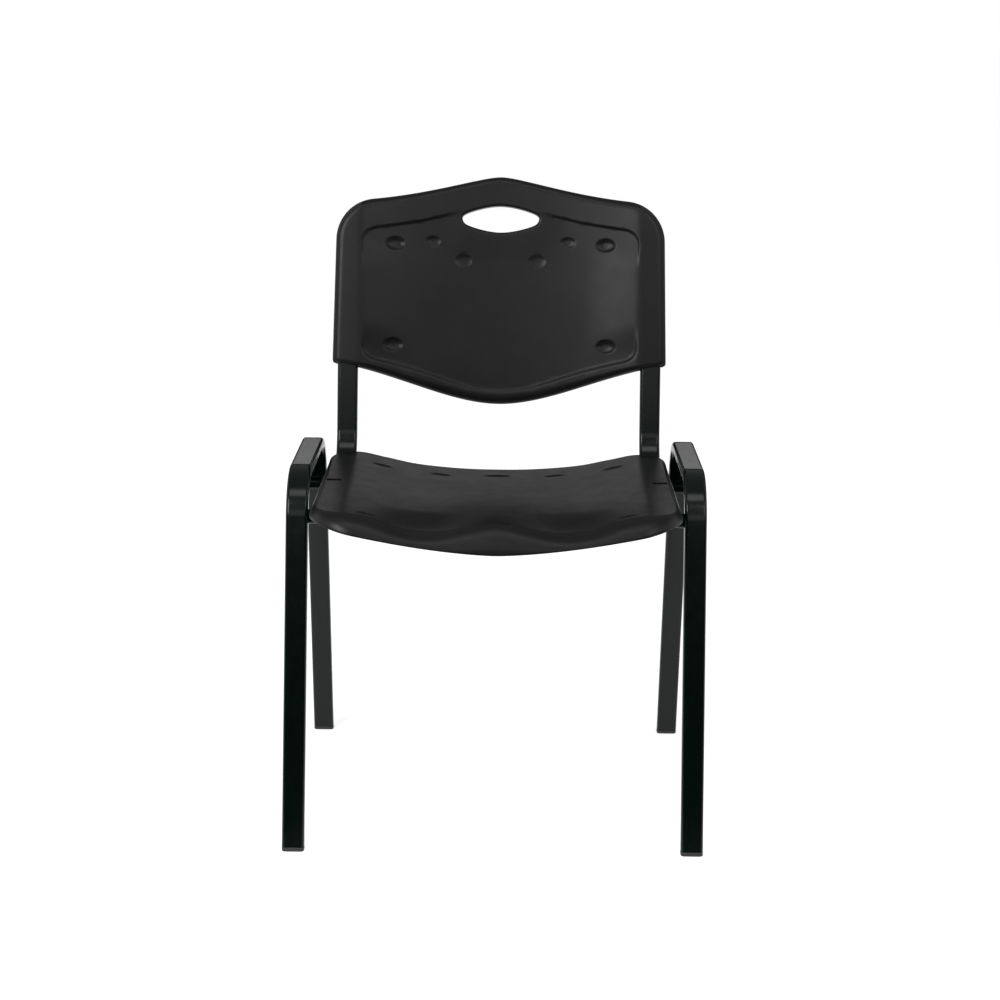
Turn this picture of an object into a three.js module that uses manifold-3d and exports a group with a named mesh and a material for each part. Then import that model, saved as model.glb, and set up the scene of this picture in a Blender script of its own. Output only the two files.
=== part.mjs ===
// Stacking visitor chair: two side hoops of flat-sided steel tube, two crossbars welded between
// them, two bent tubes that carry the seat and run up inside the backrest, and two moulded shells.
// Millimetres, +Z up. The sitter faces -Y. Origin: on the floor under the middle of the chair.
// Every height is taken from the floor, and every y from the front of the front feet, until the
// finished chair is centred in its last lines.

import * as THREE from 'three';
import { mergeVertices } from 'three/addons/utils/BufferGeometryUtils.js';
import Module from 'manifold-3d';

const wasm = await Module();
wasm.setup();

const { clamp, degToRad, lerp, smoothstep } = THREE.MathUtils;

// Driving dimensions
const seam = 0.3; // clearance between pieces that touch
const overrun = 5; // how far a cutting tool stands out of what it cuts

const tube = { width: 29, thick: 15, wall: 1.5, corner: 4.5 };

const hoop = {
  overallWidth: 545,
  rise: 61.9, // top of the hoop above the middle of the front crossbar
  rearReach: 76.8, // how far the rear feet stand behind the seat
  frontLean: degToRad(13.2),
  rearLean: degToRad(11.7),
  bendRadius: 64,
};

const crossbar = { frontHeight: 415.5, slope: degToRad(2.7) };

const carrier = {
  inset: 41.5, // between the outsides of the hoop and of the carrier
  frontEnd: 68, // y of the front end of the seat run
  bendRadius: 65,
  recline: degToRad(11.63),
  faceRise: 144.5, // where the front face of the upright is measured, above the crossbar
  faceReach: 26.1, // how far the front face stands behind the seat there
  uprightAbove: 150, // length of upright above that height
};

const foot = { height: 6, insert: 20, chamfer: 1.2 };
const plug = { head: 3, insert: 14, chamfer: 0.8 };

const seat = {
  margin: 35, // between the outside of the hoop and the seat
  depth: 408.2,
  frontEdge: 2,
  wall: 4,
  frontCorner: 58,
  rearCorner: 40,
  rearBow: 11.3, // how far the middle of the rear edge lies behind its ends
  rearSlope: degToRad(8), // of the rear edge where it leaves the corners
  frontRoll: 24,
  sideRoll: 9,
  rearRoll: 8,
  rimDrop: 14,
  cornerDrop: 6, // the same at the rear corners
  frontRise: 31.5, // height of the flat margins above the front crossbar, at the front
  rearRise: 30.8,
  dish: 29, // depth of the hollow below the margins
  dishMargin: 37.5, // width of the flat margins beside it
  lipFall: 17.5, // how far the front lip comes down below the middle of the crossbar
  lipRise: 28.5, // rise of the lip from the middle to the end of the hollow
};

const back = {
  margin: 34, // between the outside of the hoop and the open ends of the sleeves
  taper: 3.7, // how much nearer the middle each side stands at the top corner
  wall: 3.5,
  sleeveEnd: 5, // open end of the sleeves above the measured height of the uprights
  levelMargin: 12.5, // how far the open ends stay level from the sides
  bottomEdge: -50,
  peak: 276.5,
  shoulderFall: 34.6, // from the peak to the corners
  shoulderSlope: degToRad(7), // of the top edge where it leaves the corners
  topCorner: 60,
  footCorner: 5,
  sideRoll: 6,
  topRoll: 8,
  bottomRoll: 14,
  rimDepth: 14,
  hollow: 22, // how far the middle of the panel lies behind its sides
  curl: 4, // how far the top edge leans back
  sleeveWall: 3,
};

const grip = { width: 109, height: 37, fall: 61.8, collar: 3, collarDepth: 12 }; // fall from the peak

const screw = { shank: 2.3, head: 4.5, headHeight: 2.6, washer: 7, washerThick: 1, bite: 5.5 };
const washerClearance = { front: 5.1, rear: 32.9 }; // from the crossbars to the seat's washers
const boss = { radius: 9, ribWall: 2.5, ribLap: 9, ribGap: 0.6 };

// Shares of the uprights at which the screws stand
const backScrewShares = [0.22, 0.86];

// Smallest rounding of an inset outline, the lap of joined solids into a wall, and the screw head
const leastCornerShare = 0.33;
const wallLapShare = 0.33;
const screwHeadShares = { under: 0.7, cone: 0.6 };

// Crowned edges: how far the first slope runs, and where the level middle begins
const seatCrownShares = [0.3, 0.35];
const backCrownShares = [0.48, 0.15];

// Lower edge of the backrest: the two control points between a sleeve and the middle
const sleeveBlendShares = { first: 0.625, firstDrop: 0.288, second: 0.306 };
const backRollShare = 0.6;
const sleevePower = 4;

// Right half of the hand grip, from the top to the bottom, in half widths and half heights
const gripHalfShares = [
  [0.2, 1], [0.65, 0.71], [0.97, 0.32], [1, -0.07], [0.875, -0.45], [0.44, -0.84], [0, -1],
];

// Shares across and along the seat
const acrossShares = [0, 0.2, 0.4, 0.6, 0.8, 1];
const frontDropShares = [0.45, 0.64, 0.82, 0.67, 0.22, 0];
const middleDropShares = [0.63, 0.62, 0.585, 0.465, 0.225, 0];
const rearDropShares = [0.905, 0.88, 0.78, 0.6, 0.28, 0];
const frontZoneShares = [0.07, 0.26];
const rearZoneShares = [0.34, 0.82];
const lipZoneShares = [0.07, 0.26];
const tubeZoneShares = [0.82, 0.96];
const lipPower = 1.6;

// The widths that go with the hoops, the seat's rear edge, the depth over the feet, and the
// heights that go with the front crossbar
const carrierX = (hoop.overallWidth - tube.width) / 2 - carrier.inset;
const seatHalf = hoop.overallWidth / 2 - seat.margin;
const dishReach = seatHalf - seat.dishMargin;
const backHalf = hoop.overallWidth / 2 - back.margin;
const shoulderHeight = back.peak - back.shoulderFall;
const gripCentre = back.peak - grip.fall;
const seatRear = seat.frontEdge + seat.depth;
const stance = seatRear + hoop.rearReach;
const hoopHeight = crossbar.frontHeight + hoop.rise;
const frontLevel = crossbar.frontHeight + seat.frontRise;
const rearLevel = crossbar.frontHeight + seat.rearRise;
const lipLevel = crossbar.frontHeight - seat.lipFall;

// Fineness of the faceted solids
const cornerSteps = 1;
const bendSteps = 7;
const columns = 24;
const rows = 14;
const rollSteps = 3;
const gripSteps = 26;
const roundSides = 10;
const settlingPasses = 6;

// Finishes
const frameFinish = { color: '#141917', roughness: 0.32, metalness: 0.35 };
const plasticFinish = { color: '#29292b', roughness: 0.45, metalness: 0 };
const plugFinish = { color: '#161617', roughness: 0.6, metalness: 0 };
const screwFinish = { color: '#8d9094', roughness: 0.35, metalness: 0.9 };

const chair = new THREE.Group();

function addPiece(name, geometry, finish) {
  const mesh = new THREE.Mesh(geometry, new THREE.MeshStandardMaterial(finish));
  mesh.name = name;
  chair.add(mesh);
  return mesh;
}

// Joining and cutting

function toSolid(geometry) {
  const bare = new THREE.BufferGeometry();
  bare.setAttribute('position', geometry.getAttribute('position').clone());
  if (geometry.index) bare.setIndex(geometry.index.clone());
  const merged = mergeVertices(bare);
  return new wasm.Manifold(new wasm.Mesh({
    numProp: 3,
    vertProperties: new Float32Array(merged.getAttribute('position').array),
    triVerts: new Uint32Array(merged.index.array),
  }));
}

function toGeometry(solid) {
  const mesh = solid.getMesh();
  const geometry = new THREE.BufferGeometry();
  geometry.setAttribute('position', new THREE.BufferAttribute(mesh.vertProperties, mesh.numProp));
  geometry.setIndex(new THREE.BufferAttribute(mesh.triVerts, 1));
  geometry.computeVertexNormals();
  return geometry;
}

function box(low, high) {
  const size = new THREE.Vector3().subVectors(high, low);
  const middle = new THREE.Vector3().addVectors(low, high).divideScalar(2);
  return new THREE.BoxGeometry(size.x, size.y, size.z).translate(middle.x, middle.y, middle.z);
}

// A cylinder along +Z that starts at the origin
function rod(radius, length) {
  return new THREE.CylinderGeometry(radius, radius, length, roundSides)
    .rotateX(Math.PI / 2)
    .translate(0, 0, length / 2);
}

// Flat-sided tube

function sectionShape(width, thick, radius) {
  const x = width / 2 - radius;
  const y = thick / 2 - radius;
  const shape = new THREE.Shape();
  shape.absarc(x, y, radius, 0, Math.PI / 2);
  shape.absarc(-x, y, radius, Math.PI / 2, Math.PI);
  shape.absarc(-x, -y, radius, Math.PI, Math.PI * 1.5);
  shape.absarc(x, -y, radius, Math.PI * 1.5, Math.PI * 2);
  shape.closePath();
  return shape;
}

function tubeSection() {
  const outside = sectionShape(tube.width, tube.thick, tube.corner);
  outside.holes.push(insetSection(tube.wall));
  return outside;
}

function insetSection(inset) {
  const radius = Math.max(tube.corner - inset, tube.corner * leastCornerShare);
  return sectionShape(tube.width - 2 * inset, tube.thick - 2 * inset, radius);
}

// A path of straight runs and round bends. It is sampled only where it turns.
class BentPath extends THREE.Curve {
  constructor(corners, radius) {
    super();
    this.points = [corners[0]];
    this.tangents = [new THREE.Vector3().subVectors(corners[1], corners[0]).normalize()];
    for (let index = 1; index < corners.length - 1; index += 1) {
      this.addBend(bendAt(corners[index - 1], corners[index], corners[index + 1], radius));
    }
    this.points.push(corners[corners.length - 1]);
    this.tangents.push(this.tangents[this.tangents.length - 1].clone());
    this.steps = this.points.length - 1;
  }

  addBend(bend) {
    for (let step = 0; step <= bendSteps; step += 1) {
      const angle = bend.turn * step / bendSteps;
      const spoke = bend.spoke.clone().applyAxisAngle(bend.axis, angle);
      this.points.push(new THREE.Vector3().addVectors(bend.centre, spoke));
      this.tangents.push(bend.heading.clone().applyAxisAngle(bend.axis, angle));
    }
  }

  getPoint(share, target = new THREE.Vector3()) {
    const place = share * this.steps;
    const index = Math.min(Math.floor(place), this.steps - 1);
    return target.lerpVectors(this.points[index], this.points[index + 1], place - index);
  }

  getTangent(share, target = new THREE.Vector3()) {
    return target.copy(this.tangents[Math.round(share * this.steps)]);
  }

  getUtoTmapping(share) {
    return share;
  }
}

function bendAt(before, corner, after, radius) {
  const heading = new THREE.Vector3().subVectors(corner, before).normalize();
  const leaving = new THREE.Vector3().subVectors(after, corner).normalize();
  const axis = new THREE.Vector3().crossVectors(heading, leaving).normalize();
  const turn = heading.angleTo(leaving);
  const start = corner.clone().addScaledVector(heading, -radius * Math.tan(turn / 2));
  const spoke = new THREE.Vector3().crossVectors(heading, axis).multiplyScalar(radius);
  return { start, axis, turn, heading, spoke, centre: new THREE.Vector3().subVectors(start, spoke) };
}

function sweptSection(section, path) {
  return new THREE.ExtrudeGeometry(section, {
    steps: path.steps,
    curveSegments: cornerSteps,
    extrudePath: path,
  });
}

// Moulded shells. A shell's plan is in X and Y and its face looks along +Z. The plan is a grid
// stretched between the four edges of an outline, and rings round it roll the rim over.

function gridPoint(edges, column, row) {
  const { near, far, left, right } = edges;
  const u = column / columns;
  const v = row / rows;
  const point = near[column].clone().multiplyScalar(1 - v).addScaledVector(far[column], v);
  point.addScaledVector(left[row], 1 - u).addScaledVector(right[row], u);
  point.addScaledVector(near[0], -(1 - u) * (1 - v)).addScaledVector(near[columns], -u * (1 - v));
  return point.addScaledVector(far[0], -(1 - u) * v).addScaledVector(far[columns], -u * v);
}

function loopOf(edges) {
  return [
    ...edges.near.slice(0, columns),
    ...edges.right.slice(0, rows),
    ...edges.far.slice(1).reverse(),
    ...edges.left.slice(1).reverse(),
  ];
}

function loopIndices() {
  const at = (column, row) => row * (columns + 1) + column;
  const indices = [];
  for (let column = 0; column < columns; column += 1) indices.push(at(column, 0));
  for (let row = 0; row < rows; row += 1) indices.push(at(columns, row));
  for (let column = columns; column > 0; column -= 1) indices.push(at(column, rows));
  for (let row = rows; row > 0; row -= 1) indices.push(at(0, row));
  return indices;
}

function gridFaces() {
  const faces = [];
  for (let row = 0; row < rows; row += 1) {
    for (let column = 0; column < columns; column += 1) {
      const corner = row * (columns + 1) + column;
      const above = corner + columns + 1;
      faces.push([corner, corner + 1, above + 1], [corner, above + 1, above]);
    }
  }
  return faces;
}

function stripFaces(near, far) {
  const faces = [];
  near.forEach((start, index) => {
    const next = (index + 1) % near.length;
    faces.push([start, far[index], far[next]], [start, far[next], near[next]]);
  });
  return faces;
}

function facesToGeometry(points, faces) {
  const geometry = new THREE.BufferGeometry().setFromPoints(points);
  geometry.setIndex(faces.flat());
  geometry.computeVertexNormals();
  return geometry;
}

function gridPoints(plan, sunk) {
  const points = [];
  for (let row = 0; row <= rows; row += 1) {
    for (let column = 0; column <= columns; column += 1) {
      const place = gridPoint(plan.inner, column, row);
      points.push(new THREE.Vector3(place.x, place.y, plan.level(place.x, place.y) - sunk));
    }
  }
  return points;
}

// The outer skin: the face, then one ring for each step of the rim
function skinOf(plan) {
  const points = gridPoints(plan, 0);
  const inside = loopOf(plan.inner);
  const outside = loopOf(plan.outer);
  const faces = gridFaces();
  let last = loopIndices();
  for (let ring = 1; ring <= rollSteps + 1; ring += 1) {
    const loop = inside.map((place, index) => points.push(plan.rim(place, outside[index], ring)) - 1);
    faces.push(...stripFaces(last, loop));
    last = loop;
  }
  return { points, faces, last };
}

// The closed shell: the skin, the same skin moved in by the wall, and the edge between them
function mouldedShell(plan) {
  const skin = skinOf(plan);
  const normals = facesToGeometry(skin.points, skin.faces).getAttribute('normal');
  const count = skin.points.length;
  const within = skin.points.map((point, index) => (
    new THREE.Vector3().fromBufferAttribute(normals, index).multiplyScalar(-plan.wall).add(point)
  ));
  const reversed = skin.faces.map(([a, b, c]) => [a + count, c + count, b + count]);
  const edge = stripFaces(skin.last, skin.last.map((index) => index + count));
  return facesToGeometry([...skin.points, ...within], [...skin.faces, ...reversed, ...edge]);
}

// Everything that lies behind the middle of a shell's wall, as deep as asked
function spaceBehind(plan, floor) {
  const points = gridPoints(plan, plan.wall / 2);
  const count = points.length;
  const under = points.map((point) => new THREE.Vector3(point.x, point.y, floor));
  const loop = loopIndices();
  const faces = gridFaces();
  const reversed = faces.map(([a, b, c]) => [a + count, c + count, b + count]);
  const walls = stripFaces(loop, loop.map((index) => index + count));
  return facesToGeometry([...points, ...under], [...faces, ...reversed, ...walls]);
}

function mirrored(points) {
  return points.map((point) => new THREE.Vector2(-point.x, point.y));
}

// The four edges of an outline as evenly spaced points, from its lower, upper and right paths
function evenEdges(nearPath, farPath, rightPath) {
  const right = rightPath.getSpacedPoints(rows);
  return {
    near: nearPath.getSpacedPoints(columns),
    far: farPath.getSpacedPoints(columns),
    left: mirrored(right),
    right,
  };
}

// The far edge of an outline: half of each corner arc and a crowned curve between the arcs
function crownedPath(x, shoulder, radius, slope, peak, [runShare, levelShare]) {
  const centreX = x - radius;
  const centreY = shoulder - radius;
  const endX = centreX + radius * Math.sin(slope);
  const endY = centreY + radius * Math.cos(slope);
  const firstX = endX * (1 - runShare);
  const firstY = endY + endX * runShare * Math.tan(slope);
  const path = new THREE.Path();
  path.absarc(-centreX, centreY, radius, Math.PI * 0.75, Math.PI / 2 + slope, true);
  path.bezierCurveTo(-firstX, firstY, -endX * levelShare, peak, 0, peak);
  path.bezierCurveTo(endX * levelShare, peak, firstX, firstY, endX, endY);
  path.absarc(centreX, centreY, radius, Math.PI / 2 - slope, Math.PI / 4, true);
  return path;
}

// Side hoops

const hoopX = (hoop.overallWidth - tube.width) / 2;
const half = tube.thick / 2;
const hoopAxisTop = hoopHeight - half;

function legAxis(height, front) {
  const lean = front ? hoop.frontLean : hoop.rearLean;
  const inset = height * Math.tan(lean) + half / Math.cos(lean);
  return new THREE.Vector3(0, front ? inset : stance - inset, height);
}

const hoopCorners = [
  legAxis(-overrun, true),
  legAxis(hoopAxisTop, true),
  legAxis(hoopAxisTop, false),
  legAxis(-overrun, false),
];

// y of the inner surface of a leg, moved in by an inset, also where the leg begins to bend
function insideOfLeg(height, inset, front) {
  const lean = front ? hoop.frontLean : hoop.rearLean;
  const [outer, corner, along] = front ? hoopCorners : [hoopCorners[3], hoopCorners[2], hoopCorners[1]];
  const bend = bendAt(outer, corner, along, hoop.bendRadius);
  const straight = (tube.thick + inset + height * Math.sin(lean)) / Math.cos(lean);
  const radius = hoop.bendRadius - half - inset;
  const below = bend.centre.z - height;
  const away = front ? bend.centre.y : stance - bend.centre.y;
  const bent = height > bend.start.z - half && Math.abs(below) < radius;
  const gap = bent ? Math.max(straight, away - Math.sqrt(radius ** 2 - below ** 2)) : straight;
  return front ? gap : stance - gap;
}

function hoopGeometry() {
  const low = new THREE.Vector3(-tube.width, -overrun - tube.width, -tube.width - overrun);
  const high = new THREE.Vector3(tube.width, stance + overrun + tube.width, foot.height);
  const trimmed = toSolid(sweptSection(tubeSection(), new BentPath(hoopCorners, hoop.bendRadius)));
  return toGeometry(trimmed.subtract(toSolid(box(low, high))));
}

for (const [side, sign] of [['left', -1], ['right', 1]]) {
  addPiece(`${side}_leg_hoop`, hoopGeometry(), frameFinish).position.x = sign * hoopX;
}

// Plastic feet: a head as wide as the tube and an insert inside it, both leaning as the leg does

function leaningBlock(shape, low, high, chamfer, lean) {
  const geometry = new THREE.ExtrudeGeometry(shape, {
    depth: high - low - 2 * chamfer,
    steps: 1,
    curveSegments: cornerSteps,
    bevelEnabled: chamfer > 0,
    bevelSize: chamfer,
    bevelThickness: chamfer,
    bevelOffset: -chamfer,
    bevelSegments: 1,
  });
  geometry.translate(0, 0, low + chamfer).scale(1, 1 / Math.cos(lean), 1);
  return geometry.applyMatrix4(new THREE.Matrix4().makeShear(0, 0, 0, 0, 0, Math.tan(lean)));
}

function footGeometry(lean) {
  const outside = sectionShape(tube.width, tube.thick, tube.corner);
  const head = leaningBlock(outside, 0, foot.height - seam, foot.chamfer, lean);
  const top = foot.height + foot.insert;
  const insert = leaningBlock(insetSection(tube.wall + seam), foot.height / 2, top, 0, lean);
  return toGeometry(toSolid(head).add(toSolid(insert)));
}

for (const [end, lean, front] of [['front', hoop.frontLean, true], ['rear', -hoop.rearLean, false]]) {
  for (const [side, sign] of [['left', -1], ['right', 1]]) {
    const mesh = addPiece(`${end}_${side}_foot`, footGeometry(lean), plugFinish);
    mesh.position.set(sign * hoopX, legAxis(0, front).y, 0);
  }
}

// Crossbars. They lie flat under the seat run, against the inner faces of the legs.

const downhill = new THREE.Vector3(0, Math.cos(crossbar.slope), -Math.sin(crossbar.slope));
const offRun = new THREE.Vector3(0, Math.sin(crossbar.slope), Math.cos(crossbar.slope));
const sideways = new THREE.Vector3(1, 0, 0);

// From the middle of a bar to the centre of the upper rounding next to its leg
function barCorner(front) {
  const along = (tube.width / 2 - tube.corner) * (front ? -1 : 1);
  return new THREE.Vector3().addScaledVector(downhill, along).addScaledVector(offRun, half - tube.corner);
}

const frontBar = (() => {
  const corner = barCorner(true);
  const height = crossbar.frontHeight;
  const y = insideOfLeg(height + corner.z, tube.corner + seam, true) - corner.y;
  return new THREE.Vector3(0, y, height);
})();

// The rear bar is moved down the run until its rounding meets the rear leg
const rearBar = (() => {
  const corner = barCorner(false);
  const place = frontBar.clone();
  for (let pass = 0; pass < settlingPasses; pass += 1) {
    const target = insideOfLeg(place.z + corner.z, tube.corner + seam, false) - corner.y;
    place.addScaledVector(downhill, (target - place.y) / downhill.y);
  }
  return place;
})();

const barLength = hoop.overallWidth - 2 * plug.head - 2 * seam;
const barBasis = new THREE.Matrix4().makeBasis(downhill, offRun, sideways);

function barGeometry() {
  const geometry = new THREE.ExtrudeGeometry(tubeSection(), {
    depth: barLength,
    steps: 1,
    curveSegments: cornerSteps,
    bevelEnabled: false,
  });
  return geometry.translate(0, 0, -barLength / 2);
}

// The two ends of a plug: a chamfered head outside the tube and an insert inside it
function plugGeometry() {
  const outside = sectionShape(tube.width, tube.thick, tube.corner);
  const head = leaningBlock(outside, seam, seam + plug.head, plug.chamfer, 0);
  const insert = leaningBlock(insetSection(tube.wall + seam), -plug.insert, plug.head / 2, 0, 0);
  return toGeometry(toSolid(head).add(toSolid(insert)));
}

function addPlug(name, place, outward, widthAxis) {
  const across = new THREE.Vector3().crossVectors(outward, widthAxis);
  const basis = new THREE.Matrix4().makeBasis(widthAxis, across, outward);
  const mesh = addPiece(name, plugGeometry(), plugFinish);
  mesh.quaternion.setFromRotationMatrix(basis);
  mesh.position.copy(place);
}

for (const [name, place] of [['front', frontBar], ['rear', rearBar]]) {
  const bar = addPiece(`${name}_crossbar`, barGeometry(), frameFinish);
  bar.quaternion.setFromRotationMatrix(barBasis);
  bar.position.copy(place);
  for (const [side, sign] of [['left', -1], ['right', 1]]) {
    const end = place.clone().addScaledVector(sideways, sign * barLength / 2);
    addPlug(`${name}_crossbar_${side}_plug`, end, sideways.clone().multiplyScalar(sign), downhill);
  }
}

// Seat and back carriers: one bent tube on each side

const upward = new THREE.Vector3(0, Math.sin(carrier.recline), Math.cos(carrier.recline));
const rearward = new THREE.Vector3(0, Math.cos(carrier.recline), -Math.sin(carrier.recline));
const faceHeight = crossbar.frontHeight + carrier.faceRise;
const uprightFace = new THREE.Vector3(0, seatRear + carrier.faceReach, faceHeight);
const uprightAxis = uprightFace.clone().addScaledVector(rearward, half);
const runOver = (bar) => bar.clone().addScaledVector(offRun, tube.thick + seam);
const runAxis = runOver(frontBar);

// Where the axis of the seat run meets the axis of the upright
const carrierCorner = (() => {
  const between = new THREE.Vector3().subVectors(uprightAxis, runAxis);
  const share = between.dot(rearward) / downhill.dot(rearward);
  return runAxis.clone().addScaledVector(downhill, share);
})();
const runStart = runAxis.clone().addScaledVector(downhill, (carrier.frontEnd - runAxis.y) / downhill.y);
const uprightEnd = uprightAxis.clone().addScaledVector(upward, carrier.uprightAbove);
const carrierPath = new BentPath([runStart, carrierCorner, uprightEnd], carrier.bendRadius);

const besideBar = tube.width / 2 + screw.washer;
const seatScrewPlaces = [
  runOver(frontBar).addScaledVector(downhill, besideBar + washerClearance.front),
  runOver(rearBar).addScaledVector(downhill, -besideBar - washerClearance.rear),
];
const backScrewPlaces = backScrewShares.map((share) => (
  uprightAxis.clone().addScaledVector(upward, share * carrier.uprightAbove)
));
const runBasis = new THREE.Matrix4().makeBasis(sideways, downhill, offRun);
const forward = rearward.clone().negate();
const backBasis = new THREE.Matrix4().makeBasis(sideways, upward, forward);

function placed(geometry, basis, place) {
  return geometry.applyMatrix4(new THREE.Matrix4().setPosition(place).multiply(basis));
}

function carrierGeometry() {
  let solid = toSolid(sweptSection(tubeSection(), carrierPath));
  const drill = screw.shank + 2 * seam;
  for (const place of seatScrewPlaces) {
    const hole = rod(drill, tube.thick + 2 * overrun).translate(0, 0, -half - overrun);
    solid = solid.subtract(toSolid(placed(hole, runBasis, place)));
  }
  for (const place of backScrewPlaces) {
    const hole = rod(drill, half + overrun).translate(0, 0, -half - overrun);
    solid = solid.subtract(toSolid(placed(hole, backBasis, place)));
  }
  return toGeometry(solid);
}

for (const [side, sign] of [['left', -1], ['right', 1]]) {
  const offset = sideways.clone().multiplyScalar(sign * carrierX);
  addPiece(`${side}_seat_back_tube`, carrierGeometry(), frameFinish).position.copy(offset);
  addPlug(`${side}_seat_tube_plug`, runStart.clone().add(offset), downhill.clone().negate(), sideways);
  addPlug(`${side}_upright_plug`, uprightEnd.clone().add(offset), upward, sideways);
}

// Seat shell

// Outline of the seat, moved in by the reach of each roll
function seatEdges(frontInset, sideInset, rearInset) {
  const x = seatHalf - sideInset;
  const near = seat.frontEdge + frontInset;
  const ends = seatRear - seat.rearBow - rearInset;
  const middle = seatRear - rearInset;
  const frontRadius = Math.max(seat.frontCorner - frontInset, seat.frontCorner * leastCornerShare);
  const rearRadius = Math.max(seat.rearCorner - rearInset, seat.rearCorner * leastCornerShare);
  const nearPath = new THREE.Path();
  nearPath.absarc(-x + frontRadius, near + frontRadius, frontRadius, Math.PI * 1.25, Math.PI * 1.5);
  nearPath.lineTo(x - frontRadius, near);
  nearPath.absarc(x - frontRadius, near + frontRadius, frontRadius, Math.PI * 1.5, Math.PI * 1.75);
  const rightPath = new THREE.Path();
  rightPath.absarc(x - frontRadius, near + frontRadius, frontRadius, -Math.PI / 4, 0);
  rightPath.lineTo(x, ends - rearRadius);
  rightPath.absarc(x - rearRadius, ends - rearRadius, rearRadius, 0, Math.PI / 4);
  const farPath = crownedPath(x, ends, rearRadius, seat.rearSlope, middle, seatCrownShares);
  return evenEdges(nearPath, farPath, rightPath);
}

function dropCurve(shares) {
  const curve = new THREE.CubicInterpolant(acrossShares, shares, 1);
  curve.settings = { endingStart: THREE.ZeroSlopeEnding, endingEnd: THREE.ZeroSlopeEnding };
  return (share) => curve.evaluate(Math.min(share, 1))[0];
}

const frontDrop = dropCurve(frontDropShares);
const middleDrop = dropCurve(middleDropShares);
const rearDrop = dropCurve(rearDropShares);

// Height of the sitting surface: level margins, a hollow, and two thigh channels with a rise
// between them that fade out behind the front edge
function seatLevel(x, y) {
  const along = (y - seat.frontEdge) / seat.depth;
  const across = Math.abs(x) / dishReach;
  const front = 1 - smoothstep(along, ...frontZoneShares);
  const rear = smoothstep(along, ...rearZoneShares);
  const drop = front * frontDrop(across) + rear * rearDrop(across)
    + (1 - front - rear) * middleDrop(across);
  return lerp(frontLevel, rearLevel, along) - seat.dish * drop;
}

// How far the rim comes down: to the curved lip at the front, by a set drop elsewhere, and by
// less at the rear corners, which end just in front of the tubes
function seatRimDrop(x, y) {
  const along = (y - seat.frontEdge) / seat.depth;
  const across = Math.abs(x) / dishReach;
  const lip = lipLevel + seat.lipRise * across ** lipPower;
  const front = Math.max(seatLevel(x, y) - lip, seat.rimDrop);
  const nearTube = smoothstep(along, ...tubeZoneShares) * smoothstep(across, ...tubeZoneShares);
  const rest = lerp(seat.rimDrop, seat.cornerDrop, nearTube);
  return lerp(front, rest, smoothstep(along, ...lipZoneShares));
}

const seatPlan = {
  inner: seatEdges(seat.frontRoll, seat.sideRoll, seat.rearRoll),
  outer: seatEdges(0, 0, 0),
  wall: seat.wall,
  level: seatLevel,
  rim(inside, outside, ring) {
    const angle = Math.min(ring / (rollSteps + 1), 1) * Math.PI / 2;
    const place = inside.clone().lerp(outside, Math.sin(angle));
    const drop = seatRimDrop(inside.x, inside.y) * (1 - Math.cos(angle));
    return new THREE.Vector3(place.x, place.y, seatLevel(inside.x, inside.y) - drop);
  },
};

// Bosses for the screws and two ribs along each tube, on the underside
function seatUnderside() {
  const top = half + seam;
  const height = frontLevel - crossbar.frontHeight + seat.rimDrop;
  const ribStart = seatScrewPlaces[0].clone().addScaledVector(downhill, -boss.radius);
  const ribLength = seatScrewPlaces[1].distanceTo(seatScrewPlaces[0]) + 2 * boss.radius;
  const solids = [];
  for (const sign of [-1, 1]) {
    const offset = sideways.clone().multiplyScalar(sign * carrierX);
    for (const place of seatScrewPlaces) {
      const column = rod(boss.radius, height).translate(0, 0, top);
      solids.push(toSolid(placed(column, runBasis, place.clone().add(offset))));
    }
    for (const edge of [-1, 1]) {
      const near = tube.width / 2 + boss.ribGap;
      const low = new THREE.Vector3(near, 0, half - boss.ribLap);
      const high = new THREE.Vector3(near + boss.ribWall, ribLength, half + height);
      const rib = box(low, high).rotateZ(edge < 0 ? Math.PI : 0).translate(0, edge < 0 ? ribLength : 0, 0);
      solids.push(toSolid(placed(rib, runBasis, ribStart.clone().add(offset))));
    }
  }
  const below = toSolid(spaceBehind(seatPlan, crossbar.frontHeight - tube.width));
  return solids.reduce((joined, solid) => joined.add(solid)).intersect(below);
}

function seatGeometry() {
  const clear = sectionShape(tube.width + 2 * seam, tube.thick + 2 * seam, tube.corner);
  const bite = screw.bite + 2 * seam;
  let solid = toSolid(mouldedShell(seatPlan)).add(seatUnderside());
  for (const sign of [-1, 1]) {
    const offset = sideways.clone().multiplyScalar(sign * carrierX);
    const passage = sweptSection(clear, carrierPath).translate(offset.x, 0, 0);
    solid = solid.subtract(toSolid(passage));
    for (const place of seatScrewPlaces) {
      const pilot = rod(screw.shank + seam, bite + overrun).translate(0, 0, half - overrun);
      solid = solid.subtract(toSolid(placed(pilot, runBasis, place.clone().add(offset))));
    }
  }
  return toGeometry(solid);
}

addPiece('seat_shell', seatGeometry(), plasticFinish);

// Screws and washers that hold the seat, driven up through the tubes

function screwGeometry(length) {
  const profile = [
    new THREE.Vector2(0, 0),
    new THREE.Vector2(screw.head * screwHeadShares.under, 0),
    new THREE.Vector2(screw.head, screw.headHeight * screwHeadShares.cone),
    new THREE.Vector2(screw.head, screw.headHeight),
    new THREE.Vector2(screw.shank, screw.headHeight),
    new THREE.Vector2(screw.shank, screw.headHeight + length - screw.shank),
    new THREE.Vector2(0, screw.headHeight + length),
  ];
  return new THREE.LatheGeometry(profile, roundSides).rotateX(Math.PI / 2);
}

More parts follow.
